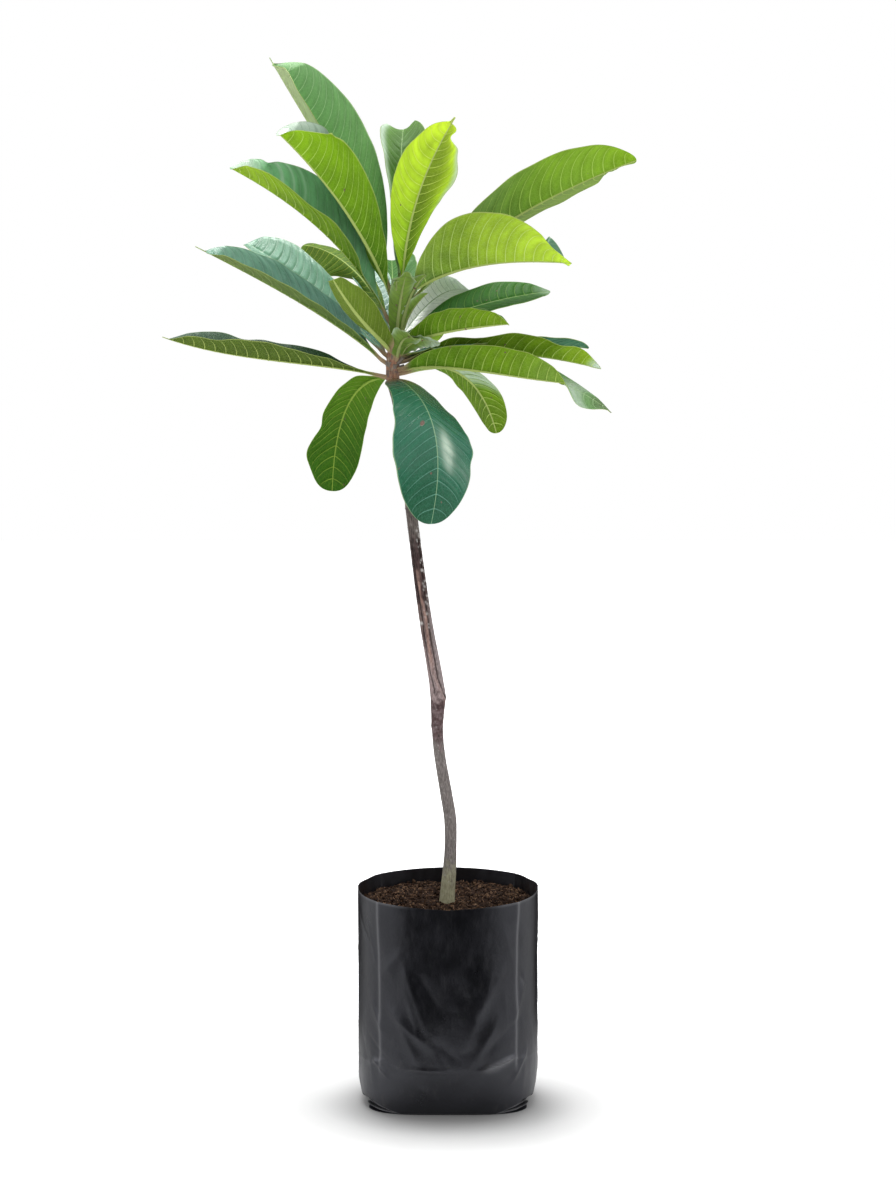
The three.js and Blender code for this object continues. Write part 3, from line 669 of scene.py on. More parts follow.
def leafBladeGroup():
    green, paleVein = rgb(0.1, 0.2, 0.05), rgb(0.4, 0.5, 0.2)
    group, given, result = newGroup(
        "leafBlade",
        [
            ("Foot Colour", "Color", green), ("Tip Colour", "Color", green), ("Vein Colour", "Color", paleVein),
            ("Rib Colour", "Color", paleVein), ("Petiole Colour", "Color", rgb(0.2, 0.1, 0.05)),
            ("Vein Strength", "Float", 0.6), ("Gloss", "Float", 0.4), ("Mottling", "Float", 0.35),
        ],
        [("Colour", "Color"), ("Roughness", "Float"), ("Height", "Float")],
    )
    placeMap, veinMap, spanMap = (
        addNode(group, "ShaderNodeUVMap", uv_map=name).outputs[0] for name in ("leafMap", "leafVein", "leafSpan")
    )
    row = partsOf(group, placeMap)[0]
    veinParts = partsOf(group, veinMap)
    share = veinParts[1]
    fromRib = calc(group, "ABSOLUTE", partsOf(group, spanMap)[1])
    blotch = noiseAt(group, spanMap, 62.0, 5.0, 0.6)
    cloud = noiseAt(group, spanMap, 15.0, 2.0)
    # side veins lie at the whole numbers of the vein map
    nearVein = calc(group, "ABSOLUTE", calc(group, "MULTIPLY_ADD", calc(group, "FRACT", veinParts[0]), 2.0, -1.0))
    veinEdge = rangeOf(group, share, 0.0, 1.0, 0.87, 0.945, smooth=False)
    veins = product(
        group, rangeOf(group, nearVein, veinEdge, 0.992), rangeOf(group, share, 0.82, 1.0, 1.0, 0.2),
        rangeOf(group, row, 0.03, 0.16), rangeOf(group, blotch, 0.35, 0.6, 0.7, 1.0),
    )
    # midrib, thinner towards the tip
    ribReach = rangeOf(group, row, 0.0, 1.0, 1.15 * mm, 0.35 * mm, smooth=False)
    rib = rangeOf(group, calc(group, "DIVIDE", fromRib, ribReach), 0.6, 1.2, 1.0, 0.0)
    # fine net of the smallest veins, in real size
    net = addNode(group, "ShaderNodeTexVoronoi", {"Vector": spanMap, "Scale": 420.0}, feature="DISTANCE_TO_EDGE")
    netLine = rangeOf(group, net.outputs["Distance"], 0.0, 0.14, 1.0, 0.0)
    cloudShade = rangeOf(group, cloud, 0.3, 0.7, -0.14, 0.14)
    shade = calc(group, "ADD", rangeOf(group, blotch, 0.3, 0.7, -0.1, 0.1), cloudShade)
    toTip = calc(group, "MULTIPLY_ADD", row, 0.85, product(group, share, 0.2))
    toTip = calc(group, "ADD", toTip, product(group, shade, given["Mottling"]), clamp=True)
    colour = blendColours(group, toTip, given["Foot Colour"], given["Tip Colour"])
    # painted shade: darker valleys beside each vein, lighter in between
    valleyShade = rangeOf(group, nearVein, 0.1, 0.85, 1.04, 0.92)
    valleyShade = product(group, valleyShade, rangeOf(group, blotch, 0.3, 0.75, 0.88, 1.1))
    colour = blendColours(group, 1.0, colour, greyOf(group, valleyShade), "MULTIPLY")
    # one mask paints sheen in streaks above nought, whiter sheen above one and shade below nought
    pale, dull, blemish = (maskOf(group, name) for name in ("pale", "dull", "blemish"))
    sheenStreaks = calc(group, "ADD", blotch, product(group, nearVein, -0.12))
    sheenStreaks = rangeOf(group, sheenStreaks, 0.25, 0.5, 0.65, 1.0)
    colour = coated(
        group, colour,
        (product(group, rangeOf(group, pale, 0.0, 0.9), sheenStreaks), leafFinish["paled"]),
        (rangeOf(group, pale, 1.0, 2.0), leafFinish["whiteSheen"]),
        (rangeOf(group, pale, -1.0, 0.0, 1.0, 0.0, smooth=False), leafFinish["shaded"]),
        (product(group, dull, 0.7), leafFinish["dulled"]),
        (product(group, netLine, 0.13), given["Vein Colour"]),
        (product(group, veins, given["Vein Strength"]), given["Vein Colour"]),
        (product(group, rangeOf(group, share, 0.97, 0.99), 0.75), given["Rib Colour"]),
        (product(group, rib, 0.9), given["Rib Colour"]),
        (rangeOf(group, row, 0.02, 0.085, 1.0, 0.0), given["Petiole Colour"]),
        (rangeOf(group, blemish, 0.3, 0.6), leafFinish["speck"]),
    )
    rough = calc(group, "ADD", given["Gloss"], rangeOf(group, blotch, 0.3, 0.7, -0.05, 0.08))
    connect(group, colour, result["Colour"])
    connect(group, calc(group, "ADD", rough, product(group, veins, 0.12)), result["Roughness"])
    height = calc(group, "ADD", product(group, netLine, -0.5), product(group, blotch, 0.8))
    connect(group, height, result["Height"])
    return group


def leafMaterial(name, blade, colours, veinStrength, gloss, relief):
    # colours: those of the foot, the tip, the veins, the midrib and the petiole
    material, tree, shader = newMaterial(name, **{"Specular IOR Level": gloss[1]})
    values = {"Vein Strength": veinStrength, "Gloss": gloss[0]}
    for part, colour in zip(("Foot", "Tip", "Vein", "Rib", "Petiole"), colours):
        values[part + " Colour"] = rgb(*colour)
    parts = placeGroup(tree, blade, values)
    dressShader(tree, shader, parts["Colour"], parts["Roughness"], parts["Height"], relief, leafFinish["reliefDepth"])
    return material


def makeLeaves():
    blade, materials, usual = leafBladeGroup(), {}, leafFinish
    for tone, look in leafTones.items():
        upperVein, underVein = look["veins"]
        upperRib = [0.5 * part + 0.5 * tint for part, tint in zip(upperVein, usual["ribTint"])]
        upper = (*look["upper"], upperVein, upperRib, usual["petiole"])
        under = (*look["under"], underVein, look.get("rib", usual["underRib"]), usual["underPetiole"])
        materials[tone] = [
            leafMaterial(side + tone, blade, colours, strength, gloss, relief)
            for side, colours, strength, gloss, relief in zip(
                ("leafUpper_", "leafUnder_"), (upper, under), usual["veinStrength"],
                (look.get("gloss", usual["gloss"]), usual["underGloss"]), usual["relief"])
        ]
    for leaf in leaves:
        makeLeaf(leaf, materials, ["leaf_" + leaf["name"]])
    for leaf in smallLeaves:
        makeLeaf(leaf, materials)
    print("leaves:", len(leaves), "and", len(smallLeaves), "small ones")


# Bark over the trunk. Heights in millimetres, angles in degrees: -90 faces the camera. A zone has
# the heights in metres between which it begins and its darkest and palest colour, some of them twice.
# A stub has a height, a heading, a length, a radius and a climb
bark = dict(
    around=96, rows=600, wrinkle=0.2, budHeight=9, scars=46, lenticels=150, specks=34, scarFrom=632, scarTo=800,
    roughFrom=(372, 392), rougherFrom=(640, 700), poresIn=(225, 760), scarSize=(2.0, 3.2),
    specksIn=((505, 640), (-72, -18), (0.8, 1.3)),
    waves=[(0.02, 2, 0.8), (0.03, 5, 0.6), (0.05, 9, 0.45), (0.08, 15, 0.4), (0.3, 6, 0.25), (0.7, 11, 0.2)],
    foot=((0.29, 0.275, 0.175), (0.46, 0.44, 0.29)),
    zones=[
        (0.225, 0.265, (0.13, 0.113, 0.105), (0.26, 0.23, 0.22)),
        (0.372, 0.392, (0.05, 0.026, 0.027), (0.12, 0.07, 0.07), (0.12, 0.08, 0.08), (0.24, 0.175, 0.18)),
        (0.425, 0.44, (0.19, 0.14, 0.138), (0.44, 0.34, 0.335)),
        (0.47, 0.5, (0.08, 0.052, 0.05), (0.25, 0.175, 0.16)),
        (0.515, 0.545, (0.025, 0.012, 0.012), (0.09, 0.05, 0.048)),
        (0.585, 0.62, (0.07, 0.055, 0.05), (0.2, 0.165, 0.15)),
        (0.758, 0.775, (0.19, 0.085, 0.05), (0.42, 0.23, 0.15)),
        (0.85, 0.87, (0.1, 0.14, 0.03), (0.2, 0.24, 0.07)),
    ],
    stubs=[(773, -160, 9, 3.4, 62), (772, -122, 9, 3.2, 66), (778, -92, 10, 2.8, 72), (771, -66, 8, 2.8, 58),
           (778, -35, 12, 2.5, 40), (786, -20, 14, 2.1, 46), (774, -12, 9, 2.6, 30), (787, -62, 12, 2.2, 66),
           (790, -108, 12, 2.4, 72), (789, -140, 8, 2.4, 62), (770, 20, 5, 3.0, 30), (781, 150, 6, 2.6, 55)],
)
graft = dict(
    cutWidth=(0.75, 0.8), cutDepth=(1.0, 1.2), flapTurn=28, flapWidth=2.6, flapEnds=(505, 545), flapRise=0.5,
    tongueRise=0.35, greyBelow=(446, 486),
    tongue=[(562, -104), (542, -105), (515, -82), (490, -99), (461, -103), (443, -75), (430, -25)],
    rightCut=[(600, -48), (575, -52), (530, -60), (487, -70), (453, -72), (438, -38), (428, -10)],
    leftCut=[(596, -128), (560, -132), (520, -118), (490, -128), (462, -134), (440, -112)],
    flecks=[(567, -55, 1.7), (511, -136, 1.9), (540, -35, 1.4), (556, -30, 1.0), (529, -28, 1.1), (575, -60, 0.9)],
    knots=[(425, -95, 3.2, 0.9), (402, -150, 2.6, 0.8), (411, -35, 2.4, 0.7), (392, -80, 2.0, 0.5),
           (432, -15, 3.0, 1.0)],
)


def alongLine(z, angle, radius, line, halfWidth, fade=9):
    # 1 on a line drawn over the bark, falling off to both of its sides and past its ends
    heights, angles = zip(*sorted(line))
    away = (np.degrees(angle) - np.interp(z, heights, angles) + 180) % 360 - 180
    reach = np.radians(away) * radius / halfWidth
    ends = smoothStep(z, heights[0] - fade, heights[0]) * (1 - smoothStep(z, heights[-1], heights[-1] + fade))
    return bell(reach) * ends


def aroundSpot(z, angle, radius, spot):
    height, direction, size = spot
    away = np.radians((np.degrees(angle) - direction + 180) % 360 - 180) * radius
    return np.sqrt(away**2 + (z - height) ** 2) / size


def makeTrunk():
    piece = newTube("trunk_bark", bark["around"], bark["rows"])
    editMesh(piece, lambda: bpy.ops.mesh.fill_holes(sides=0))
    points = readVertices(piece)
    angle = np.arctan2(points[:, 1], points[:, 0])
    low, high = trunkPath[0][0], trunkPath[-1][0]
    z = low + points[:, 2] * (high - low + bark["budHeight"])
    x, y, radius = trunkAt(z)
    toTip = np.clip((z - high + 3) / (bark["budHeight"] + 3), 0, 1)
    radius = radius * np.sqrt(np.clip(1 - toTip**1.6, 0.004, 1))
    dice = random.Random(7)
    rough = 0.35 + 0.65 * smoothStep(z, *bark["roughFrom"]) + 0.5 * smoothStep(z, *bark["rougherFrom"])
    relief = np.zeros(len(z))
    for speed, turns, size in bark["waves"]:
        for _ in range(3):
            bend = 0.6 * np.sin(z * dice.uniform(0.02, 0.06) + dice.uniform(0, 6.28))
            wave = speed * z * dice.uniform(0.7, 1.3) + round(turns * dice.uniform(0.8, 1.2)) * angle
            relief += size * np.sin(wave + bend + dice.uniform(0, 6.28)) / 2
    reach = radius + bark["wrinkle"] * relief * rough

    # the graft: a tongue of pale wood between two dark cuts, the bark lifted beside them
    tongue = alongLine(z, angle, radius, graft["tongue"], 1.6 + 0.8 * np.sin(z / 11) * np.sin(z / 29 + 1))
    tongue *= 0.75 + 0.25 * np.sin(z / 4 + 3 * np.sin(z / 17))
    leftCut = alongLine(z, angle, radius, graft["leftCut"], graft["cutWidth"][0])
    rightCut = alongLine(z, angle, radius, graft["rightCut"], graft["cutWidth"][1])
    flapLine = [(height, direction + graft["flapTurn"]) for height, direction in graft["rightCut"]]
    flap = alongLine(z, angle, radius, flapLine, graft["flapWidth"]) * (1 - smoothStep(z, *graft["flapEnds"]))
    reach += (
        graft["tongueRise"] * tongue - graft["cutDepth"][0] * leftCut - graft["cutDepth"][1] * rightCut
        + graft["flapRise"] * flap
    )
    fleck, cut = np.zeros(len(z)), np.maximum(leftCut, rightCut)
    for spot in graft["flecks"]:
        form = bell(aroundSpot(z, angle, radius, spot), 4)
        fleck = np.maximum(fleck, form)
        reach += 0.5 * form
    for height, direction, size, rise in graft["knots"]:
        away = aroundSpot(z, angle, radius, (height, direction, size))
        reach += rise * bell(away) - 0.6 * bell(away * 3)
        cut = np.maximum(cut, 0.8 * bell(away * 2.2))
    # white specks on the right above the graft
    sprinkle = random.Random(31)
    for _ in range(bark["specks"]):
        spot = [sprinkle.uniform(*ends) for ends in bark["specksIn"]]
        form = bell(aroundSpot(z, angle, radius, spot))
        reach += 0.2 * form
        fleck = np.maximum(fleck, 0.75 * form)
    # small pores everywhere, and half-moon scars where leaves have dropped below the crown
    for _ in range(bark["lenticels"]):
        spot = (dice.uniform(*bark["poresIn"]), dice.uniform(-180, 180), dice.uniform(0.5, 0.9))
        form = bell(aroundSpot(z, angle, radius, spot))
        reach += 0.22 * form
        fleck = np.maximum(fleck, 0.45 * form)
    scar = np.zeros(len(z))
    for _ in range(bark["scars"]):
        height, direction = dice.uniform(bark["scarFrom"], bark["scarTo"]), dice.uniform(-180, 180)
        size = dice.uniform(*bark["scarSize"])
        away = aroundSpot(z, angle, radius, (height, direction, size))
        lower = aroundSpot(z, angle, radius, (height - size * 0.55, direction, size))
        moon = np.exp(-((lower - 1) ** 2) * 14) * smoothStep(height + size * 0.2 - z, -size * 0.4, size * 0.4)
        scar = np.maximum(scar, bell(away, 6) * 0.75)
        reach += 0.45 * moon - 0.25 * bell(away, 4)
    writeVertices(piece, np.stack([x + reach * np.cos(angle), y + reach * np.sin(angle), z], 1) * mm)
    writeMap(piece, "barkMap", np.stack([angle / (2 * math.pi) + 0.5, z * mm], 1))
    tongue *= 0.35 + 0.65 * smoothStep(z, *graft["greyBelow"])  # greyer towards its foot
    for name, values in [("tongue", tongue), ("cut", cut), ("flap", flap), ("fleck", fleck), ("scar", scar)]:
        writeValue(piece, name, np.clip(values, 0, 1))
    finishPiece(piece, barkMaterial(), ["trunk"])
    makeStubs()
    print("trunk done")


def makeStubs():
    # short stumps of dropped leaf stalks, in the plain bark that came with the frame
    for number, (height, heading, length, radius, climb) in enumerate(bark["stubs"]):
        x, y, stem = (part[0] for part in trunkAt(height))
        bpy.ops.mesh.primitive_cone_add(
            vertices=28, radius1=radius, radius2=radius * 0.72, depth=length, end_fill_type="TRIFAN"
        )
        stub = bpy.context.object
        stub.name = stub.data.name = "stub_%d" % (number + 1)
        editMesh(stub, lambda: bpy.ops.mesh.subdivide(number_cuts=3))
        points = readVertices(stub)
        dice = random.Random(number)
        wave = np.sin(points[:, 0] * dice.uniform(1.5, 3) + number) + np.sin(points[:, 2] * dice.uniform(1, 2) + 2)
        points[:, :2] *= (1 + 0.09 * wave)[:, None]
        along = points[:, 2] + length / 2 + stem - 1.5
        out, up = turned(along, points[:, 0], math.radians(climb))
        across, depth = turned(out, points[:, 1], math.radians(heading))
        writeVertices(stub, np.stack([x + across, y + depth, height + up], 1) * mm)
        editMesh(stub, faceOut)
        finishPiece(stub, bpy.data.materials["bark"])


def barkMaterial():
    material, tree, shader = newMaterial("bark")
    coords = coordinates(tree)
    grain = noiseAt(tree, mapped(tree, coords, (1.0, 1.0, 0.22)), 900.0, 4.0, 0.6)
    patches = noiseAt(tree, coords, 110.0, 3.0, 0.6)
    specks = noiseAt(tree, coords, 620.0, 2.0, 0.5)
    edge = calc(tree, "MULTIPLY_ADD", patches, 0.06, -0.03)
    level = calc(tree, "ADD", partsOf(tree, coords)[2], edge)

    def pair(dark, light, low=0.35, high=0.65):
        return rampOf(tree, grain, low, high, dark, light)

    colour = pair(*bark["foot"])
    for low, high, *tones in bark["zones"]:
        zone = pair(*tones[:2])
        if len(tones) > 2:
            zone = blendColours(tree, rangeOf(tree, patches, 0.42, 0.6), zone, pair(*tones[2:]))
        colour = blendColours(tree, rangeOf(tree, level, low, high), colour, zone)
    flap, tongue, cut, scar, fleck = (maskOf(tree, name) for name in ("flap", "tongue", "cut", "scar", "fleck"))
    colour = coated(
        tree, colour,
        (product(tree, flap, 0.75), pair((0.2, 0.17, 0.17), (0.36, 0.32, 0.32))),
        (tongue, pair((0.2, 0.1, 0.08), (0.44, 0.28, 0.23), 0.3, 0.6)),
        (product(tree, cut, 0.9), rgb(0.018, 0.008, 0.006)),
        (scar, pair((0.2, 0.14, 0.1), (0.42, 0.36, 0.28))),
        (fleck, rgb(0.6, 0.57, 0.55)),
        (rangeOf(tree, specks, 0.62, 0.75, 0.0, 0.45), rgb(0.04, 0.03, 0.025)),
    )
    rise = calc(tree, "MULTIPLY_ADD", grain, 0.7, product(tree, specks, 0.3))
    dressShader(tree, shader, colour, rangeOf(tree, grain, 0.3, 0.7, 0.62, 0.9), rise, 0.6, 0.45)
    return material


# Nursery bag of thin black film. Angles in degrees: -90 faces the camera
bag = dict(
    height=228, halfWidth=95.5, squareness=2.4, film=0.45, around=300, wallRows=126, bottomRows=8,
    footHalfWidth=88.5, footHalfDepth=71, footSquareness=4.0, sideTurn=40, frontTurn=55, creaseHeight=0.75,
    rim=[(-180, 1.5), (-135, 0.4), (-90, -3.6), (-45, 0.2), (0, 1.6), (45, -1.8), (90, 0.3), (135, -2.0), (180, 1.5)],
    looseWrinkles=95, rimFlat=3.6, taper=2.6, facetHighlight=((70, 61), (42, 54), 4.2, 0.8), cornerRise=2.4,
    tuckHeight=12.5, tuckDepth=11, sideTuck=7, tuckFilm=0.7, seat=1.2, arcRadius=97, halfRound=305,
    black=((0.003, 0.003, 0.0042), (0.007, 0.007, 0.0095)), dust=(0.06, 0.055, 0.052), highlit=(0.2, 0.2, 0.21),
    crease=[(-180, 46), (-168, 50), (-133, 58.5), (-114, 53), (-90, 51.5), (-73, 50.5), (-60, 52), (-48, 62),
            (-12, 55), (0, 50), (45, 58), (90, 52), (135, 58), (180, 46)],
)
# Folds read from the photograph: start and end as (across, height), width and height of the ridge
frontFolds = [
    ((-44, 158), (-20, 88), 8.0, 2.3), ((43, 150), (22, 86), 8.0, 2.3), ((-62, 114), (-24, 82), 5.5, 1.9),
    ((62, 165), (30, 112), 8.0, 1.8), ((-30, 152), (-10, 118), 6.0, -1.6), ((52, 104), (26, 60), 6.0, 1.6),
    ((-50, 98), (-30, 58), 6.5, 1.5), ((-12, 84), (8, 66), 6.0, -1.0), ((70, 63), (38, 54), 2.4, 3.0),
    ((66, 57), (40, 55), 2.2, -1.2), ((-90, 124), (-74, 92), 6.0, 1.6), ((88, 142), (74, 104), 6.0, 1.7),
    ((-70, 152), (-50, 178), 8.0, 1.2), ((-86, 60), (-68, 44), 3.4, 1.5), ((90, 64), (72, 38), 3.4, 1.8),
    ((0, 52), (-40, 55), 2.4, 0.8), ((-95, 52), (-72, 60), 2.6, 1.0), ((14, 140), (34, 96), 9.0, -1.4),
    ((-72, 190), (-60, 150), 8.0, 0.9), ((60, 200), (72, 160), 8.0, 0.9), ((-40, 40), (-10, 14), 7.0, 0.8),
    ((44, 44), (18, 12), 7.0, 0.8),
]


def cornerOf(angle):
    # degrees from the side of the bag, from 0 to 90 in each quarter
    return np.degrees(np.arctan2(np.abs(np.sin(angle)), np.abs(np.cos(angle))))


def fromCrease(angle):
    # degrees from the nearest of the four creases
    return (np.degrees(angle) % 90) - 45


def arcOf(angle):
    # millimetres round the bag from the middle of its front
    half = bag["halfRound"]
    return (np.radians(np.degrees(angle) + 90) * bag["arcRadius"] + half) % (2 * half) - half


def planRadius(angle, halfWidth, halfDepth, squareness):
    across = np.abs(np.cos(angle) / halfWidth) ** squareness
    along = np.abs(np.sin(angle) / halfDepth) ** squareness
    return (across + along) ** (-1 / squareness)


def bagRadius(angle, z):
    # upright wall, drawn in over the bottom fold, later at the sides than at the front
    top = planRadius(angle, bag["halfWidth"], bag["halfWidth"], bag["squareness"])
    flat = bag["rimFlat"] * bell((cornerOf(angle) - 25) / 12) * (np.sin(angle) > 0)
    top = top - flat * smoothStep(z, 175, 228)
    foot = planRadius(angle, bag["footHalfWidth"], bag["footHalfDepth"], bag["footSquareness"])
    facing = np.abs(np.sin(angle)) ** 2
    turn = bag["sideTurn"] + (bag["frontTurn"] - bag["sideTurn"]) * facing
    share = np.clip(z / turn, 0, 1)
    share = share * (1.55 - 0.55 * share) * facing + (1 - (1 - share) ** 2.6) * (1 - facing)
    taper = bag["taper"] * facing * (1 - smoothStep(z, 48, 140)) * smoothStep(z, 0, 40)
    return foot + (top - foot) * share - taper


def ridge(across, height, start, end, width, rise):
    # a soft fold in the film between two points, sharper on its crest
    start, end = np.array(start, float), np.array(end, float)
    length = np.linalg.norm(end - start)
    way = (end - start) / length
    along = (across - start[0]) * way[0] + (height - start[1]) * way[1]
    away = np.abs((across - start[0]) * way[1] - (height - start[1]) * way[0]) / width
    fade = smoothStep(along, -0.35 * length, 0.3 * length) * (1 - smoothStep(along, 0.7 * length, 1.35 * length))
    return rise * fade * (0.55 * bell(away) + 0.45 * np.exp(-2.2 * away))


def filmRelief(angle, z):
    # how far the film stands out from its plain form, in millimetres
    arc, half = arcOf(angle), bag["halfRound"]
    relief = np.zeros(len(z))
    for start, end, width, rise in frontFolds:
        relief += ridge(arc, z, start, end, width, rise)
    dice = random.Random(21)
    for _ in range(bag["looseWrinkles"]):
        centre, height = dice.uniform(-half, half), dice.uniform(20, 215)
        if abs(centre) < 70 and dice.random() < 0.6:
            continue
        lean, length = dice.gauss(math.pi / 2, 0.55), dice.uniform(14, 46)
        step = (math.cos(lean) * length / 2, math.sin(lean) * length / 2)
        relief += ridge(arc, z, (centre - step[0], height - step[1]), (centre + step[0], height + step[1]),
                        dice.uniform(2.2, 6.5), dice.choice((-1, 1)) * dice.uniform(0.3, 1.0))
    for centre in (-half, -100, 0, 100, 200):
        relief += 0.8 * np.sin(z / 31 + centre) * bell((arc - centre) / 45)
    return relief * smoothStep(z, 0, 14) * (1 - 0.65 * smoothStep(z, 205, 228))


def creaseAt(angle, z):
    # pressed edges of the flat bag: four standing creases, one at each side, one round the foot
    away = fromCrease(angle)
    standing = np.exp(-np.abs(away) * 1.75) * smoothStep(z, 44, 60)
    side = np.degrees(np.arccos(np.clip(np.abs(np.cos(angle)), 0, 1)))
    middle = 0.8 * np.exp(-side * 1.7 / 1.2) * smoothStep(z, 20, 60)
    turn = np.interp(np.degrees(angle), *zip(*bag["crease"])) + 0.5 * np.sin(13 * angle)
    level = (0.6 + 0.25 * np.sin(7 * angle + 1)) * np.exp(-np.abs(z - turn) / 1.1)
    level *= 0.25 + 0.75 * smoothStep(np.abs(away), 40, 12)
    return standing, middle, level


def pocketLip(corner):
    # height of the wall's lower edge above the floor, by the angle from the bag's side
    return bag["tuckHeight"] * np.clip((54 - corner) / 18, 0, 1) * np.clip((corner - 8) / 14, 0, 1)


def drawnUnder(corner, z):
    # between the corner pockets the sides curve in under the bag
    return bag["sideTuck"] * (1 - smoothStep(corner, 16, 30)) * (1 - np.clip(z / 11, 0, 1)) ** 1.5


def makeBag():
    rows = bag["wallRows"] + bag["bottomRows"]
    piece = newTube("bag_film", bag["around"], rows)
    points = readVertices(piece)
    spun = np.arctan2(points[:, 1], points[:, 0])
    angle = spun - 0.1 * np.sin(4 * spun - math.pi)  # columns gather at the creases
    row = np.round(points[:, 2] * rows)
    onBottom = row < bag["bottomRows"]
    up = np.clip((row - bag["bottomRows"]) / bag["wallRows"], 0, 1)
    z = bag["height"] * (up + 0.62 * up * (up - 1))
    rimHeights = np.array(bag["rim"])
    z += np.interp(np.degrees(angle), rimHeights[:, 0], rimHeights[:, 1]) * smoothStep(z, 120, 228)
    standing, middle, level = creaseAt(angle, z)
    reach = bagRadius(angle, z) + filmRelief(angle, z)
    reach += bag["creaseHeight"] * (standing + 0.8 * middle) + 0.7 * level
    reach += bag["cornerRise"] * np.exp(-np.abs(fromCrease(angle)) / 9) * smoothStep(z, 165, 228)

    # bottom corners: the film folds under, which leaves a wedge-shaped pocket above the floor
    corner = cornerOf(angle)
    lip = pocketLip(corner)
    inPocket = smoothStep(lip - z, -0.2, 1.1) * smoothStep(z, 0.5, 2.4)
    reach -= bag["tuckDepth"] * inPocket * np.minimum(1, lip / 5) + drawnUnder(corner, z)
    reach = reach - bag["seat"] * (1 - smoothStep(z, 0, 2.5))
    z = np.where(onBottom, 0, z)
    base = bagRadius(angle, np.zeros(len(z))) - bag["seat"] - drawnUnder(corner, 0)
    reach = np.where(onBottom, base * row / bag["bottomRows"], reach)
    writeVertices(piece, np.stack([reach * np.cos(angle), reach * np.sin(angle), z], 1) * mm)
    # light lines painted where the film catches light: pressed creases, the top of the rim, the pockets' lips and the
    # facet fold
    edge = bell((z - lip - 0.6) / 0.7) * smoothStep(corner, 36, 46) * (lip > 0.3)
    facetHighlight = ridge(arcOf(angle), z, *bag["facetHighlight"])
    filmHighlight = standing + 0.7 * middle + 0.2 * level + smoothStep(z, 226, 228) * 0.5 + 1.2 * edge + facetHighlight
    writeValue(piece, "filmHighlight", np.clip(filmHighlight, 0, 1.25) * ~onBottom)
    editMesh(piece, weld, faceOut)
    thicken(piece, bag["film"])
    # the inside, which is the second half of the mesh, gets little of the painted highlight
    highlit = np.empty(len(piece.data.vertices), np.float32)
    piece.data.attributes["filmHighlight"].data.foreach_get("value", highlit)
    highlit[len(highlit) // 2:] *= 0.15
    piece.data.attributes["filmHighlight"].data.foreach_set("value", highlit)
    film = filmMaterial()
    finishPiece(piece, film, ["bag"], sharpAbove=75)
    for end, signY in [("front", -1), ("rear", 1)]:
        for side, signX in [("left", -1), ("right", 1)]:
            makeTuck("%s_%s" % (end, side), signX, signY, film)
    print("bag done")


def makeTuck(name, signX, signY, film):
    # two layers of folded film that fan out inside a corner's pocket
    for layer, (share, out, droop) in enumerate([(0.7, 1.4, 1.0), (0.36, 0.3, 0.4)]):
        sheet = newGrid("bag_tuck_%s_%d" % (name, layer + 1), 30, 8)
        flat = readVertices(sheet)
        place, inward = (flat[:, 0] + 1) / 2, (flat[:, 1] + 1) / 2
        degrees = 53 - 30 * place
        angle = np.radians(degrees)
        lip = pocketLip(degrees)
        bulge = np.sin(math.pi * place) ** 0.7
        reach = bagRadius(angle, np.zeros(len(place))) - out - 1.6 * (1 - bulge) - (bag["tuckDepth"] + 3) * inward
        z = 0.35 + lip * share - droop * inward * 1.5 * lip / bag["tuckHeight"]
        z = np.maximum(z + 0.5 * np.sin(9 * place + layer) * place, 0.3)
        writeVertices(sheet, np.stack([signX * reach * np.cos(angle), signY * reach * np.sin(angle), z], 1) * mm)
        # painted highlight along the layers' outer edges
        writeValue(sheet, "filmHighlight", (1.25 - 0.9 * smoothStep(place, 0.35, 0.75)) * (inward < 0.2))
        editMesh(sheet, faceOut)
        thicken(sheet, bag["tuckFilm"], offset=0)
        finishPiece(sheet, film)


def filmMaterial():
    sheen = {"Specular IOR Level": 1.0, "Specular Tint": rgb(0.88, 0.9, 1.0)}
    material, tree, shader = newMaterial("bagFilm", **sheen)
    coords = coordinates(tree)
    smudge = noiseAt(tree, coords, 22.0, 4.0, 0.6)
    scuff = noiseAt(tree, mapped(tree, coords, (1.0, 1.0, 0.3)), 150.0, 4.0, 0.65)
    crinkle = noiseAt(tree, coords, 75.0, 3.0, 0.5)
    fine = noiseAt(tree, coords, 480.0, 2.0, 0.5)
    low = rangeOf(tree, partsOf(tree, coords)[2], 0.0, 0.12, 0.5, 0.12)
    colour = coated(
        tree, rampOf(tree, smudge, 0.35, 0.7, *bag["black"]),
        (product(tree, rangeOf(tree, scuff, 0.55, 0.8), low), rgb(*bag["dust"])),
        # painted highlight on creases and edges
        (product(tree, maskOf(tree, "filmHighlight"), 0.8), rgb(*bag["highlit"])),
    )
    rough = calc(tree, "ADD", rangeOf(tree, smudge, 0.3, 0.7, 0.27, 0.37), rangeOf(tree, scuff, 0.4, 0.75, 0.0, 0.1))
    rise = calc(tree, "MULTIPLY_ADD", crinkle, 0.85, product(tree, fine, 0.15))
    dressShader(tree, shader, colour, rough, rise, 0.35, 1.3)
    return material


# Potting soil: a lumpy bed with loose crumbs and chips of fibre on it
soil = dict(
    level=211.5, backRise=2.2, edgeDip=2.0, around=200, rings=70, crumbs=3000, chips=800, bottom=188, brim=205.0,
    lumps=[(31, 1.3), (17, 1.1), (9, 0.8), (5, 0.6), (3, 0.35)], largest=4.6,
    dark=((0.004, 0.002, 0.0013), (0.034, 0.0155, 0.009)), light=((0.11, 0.055, 0.03), (0.32, 0.2, 0.125)),
)


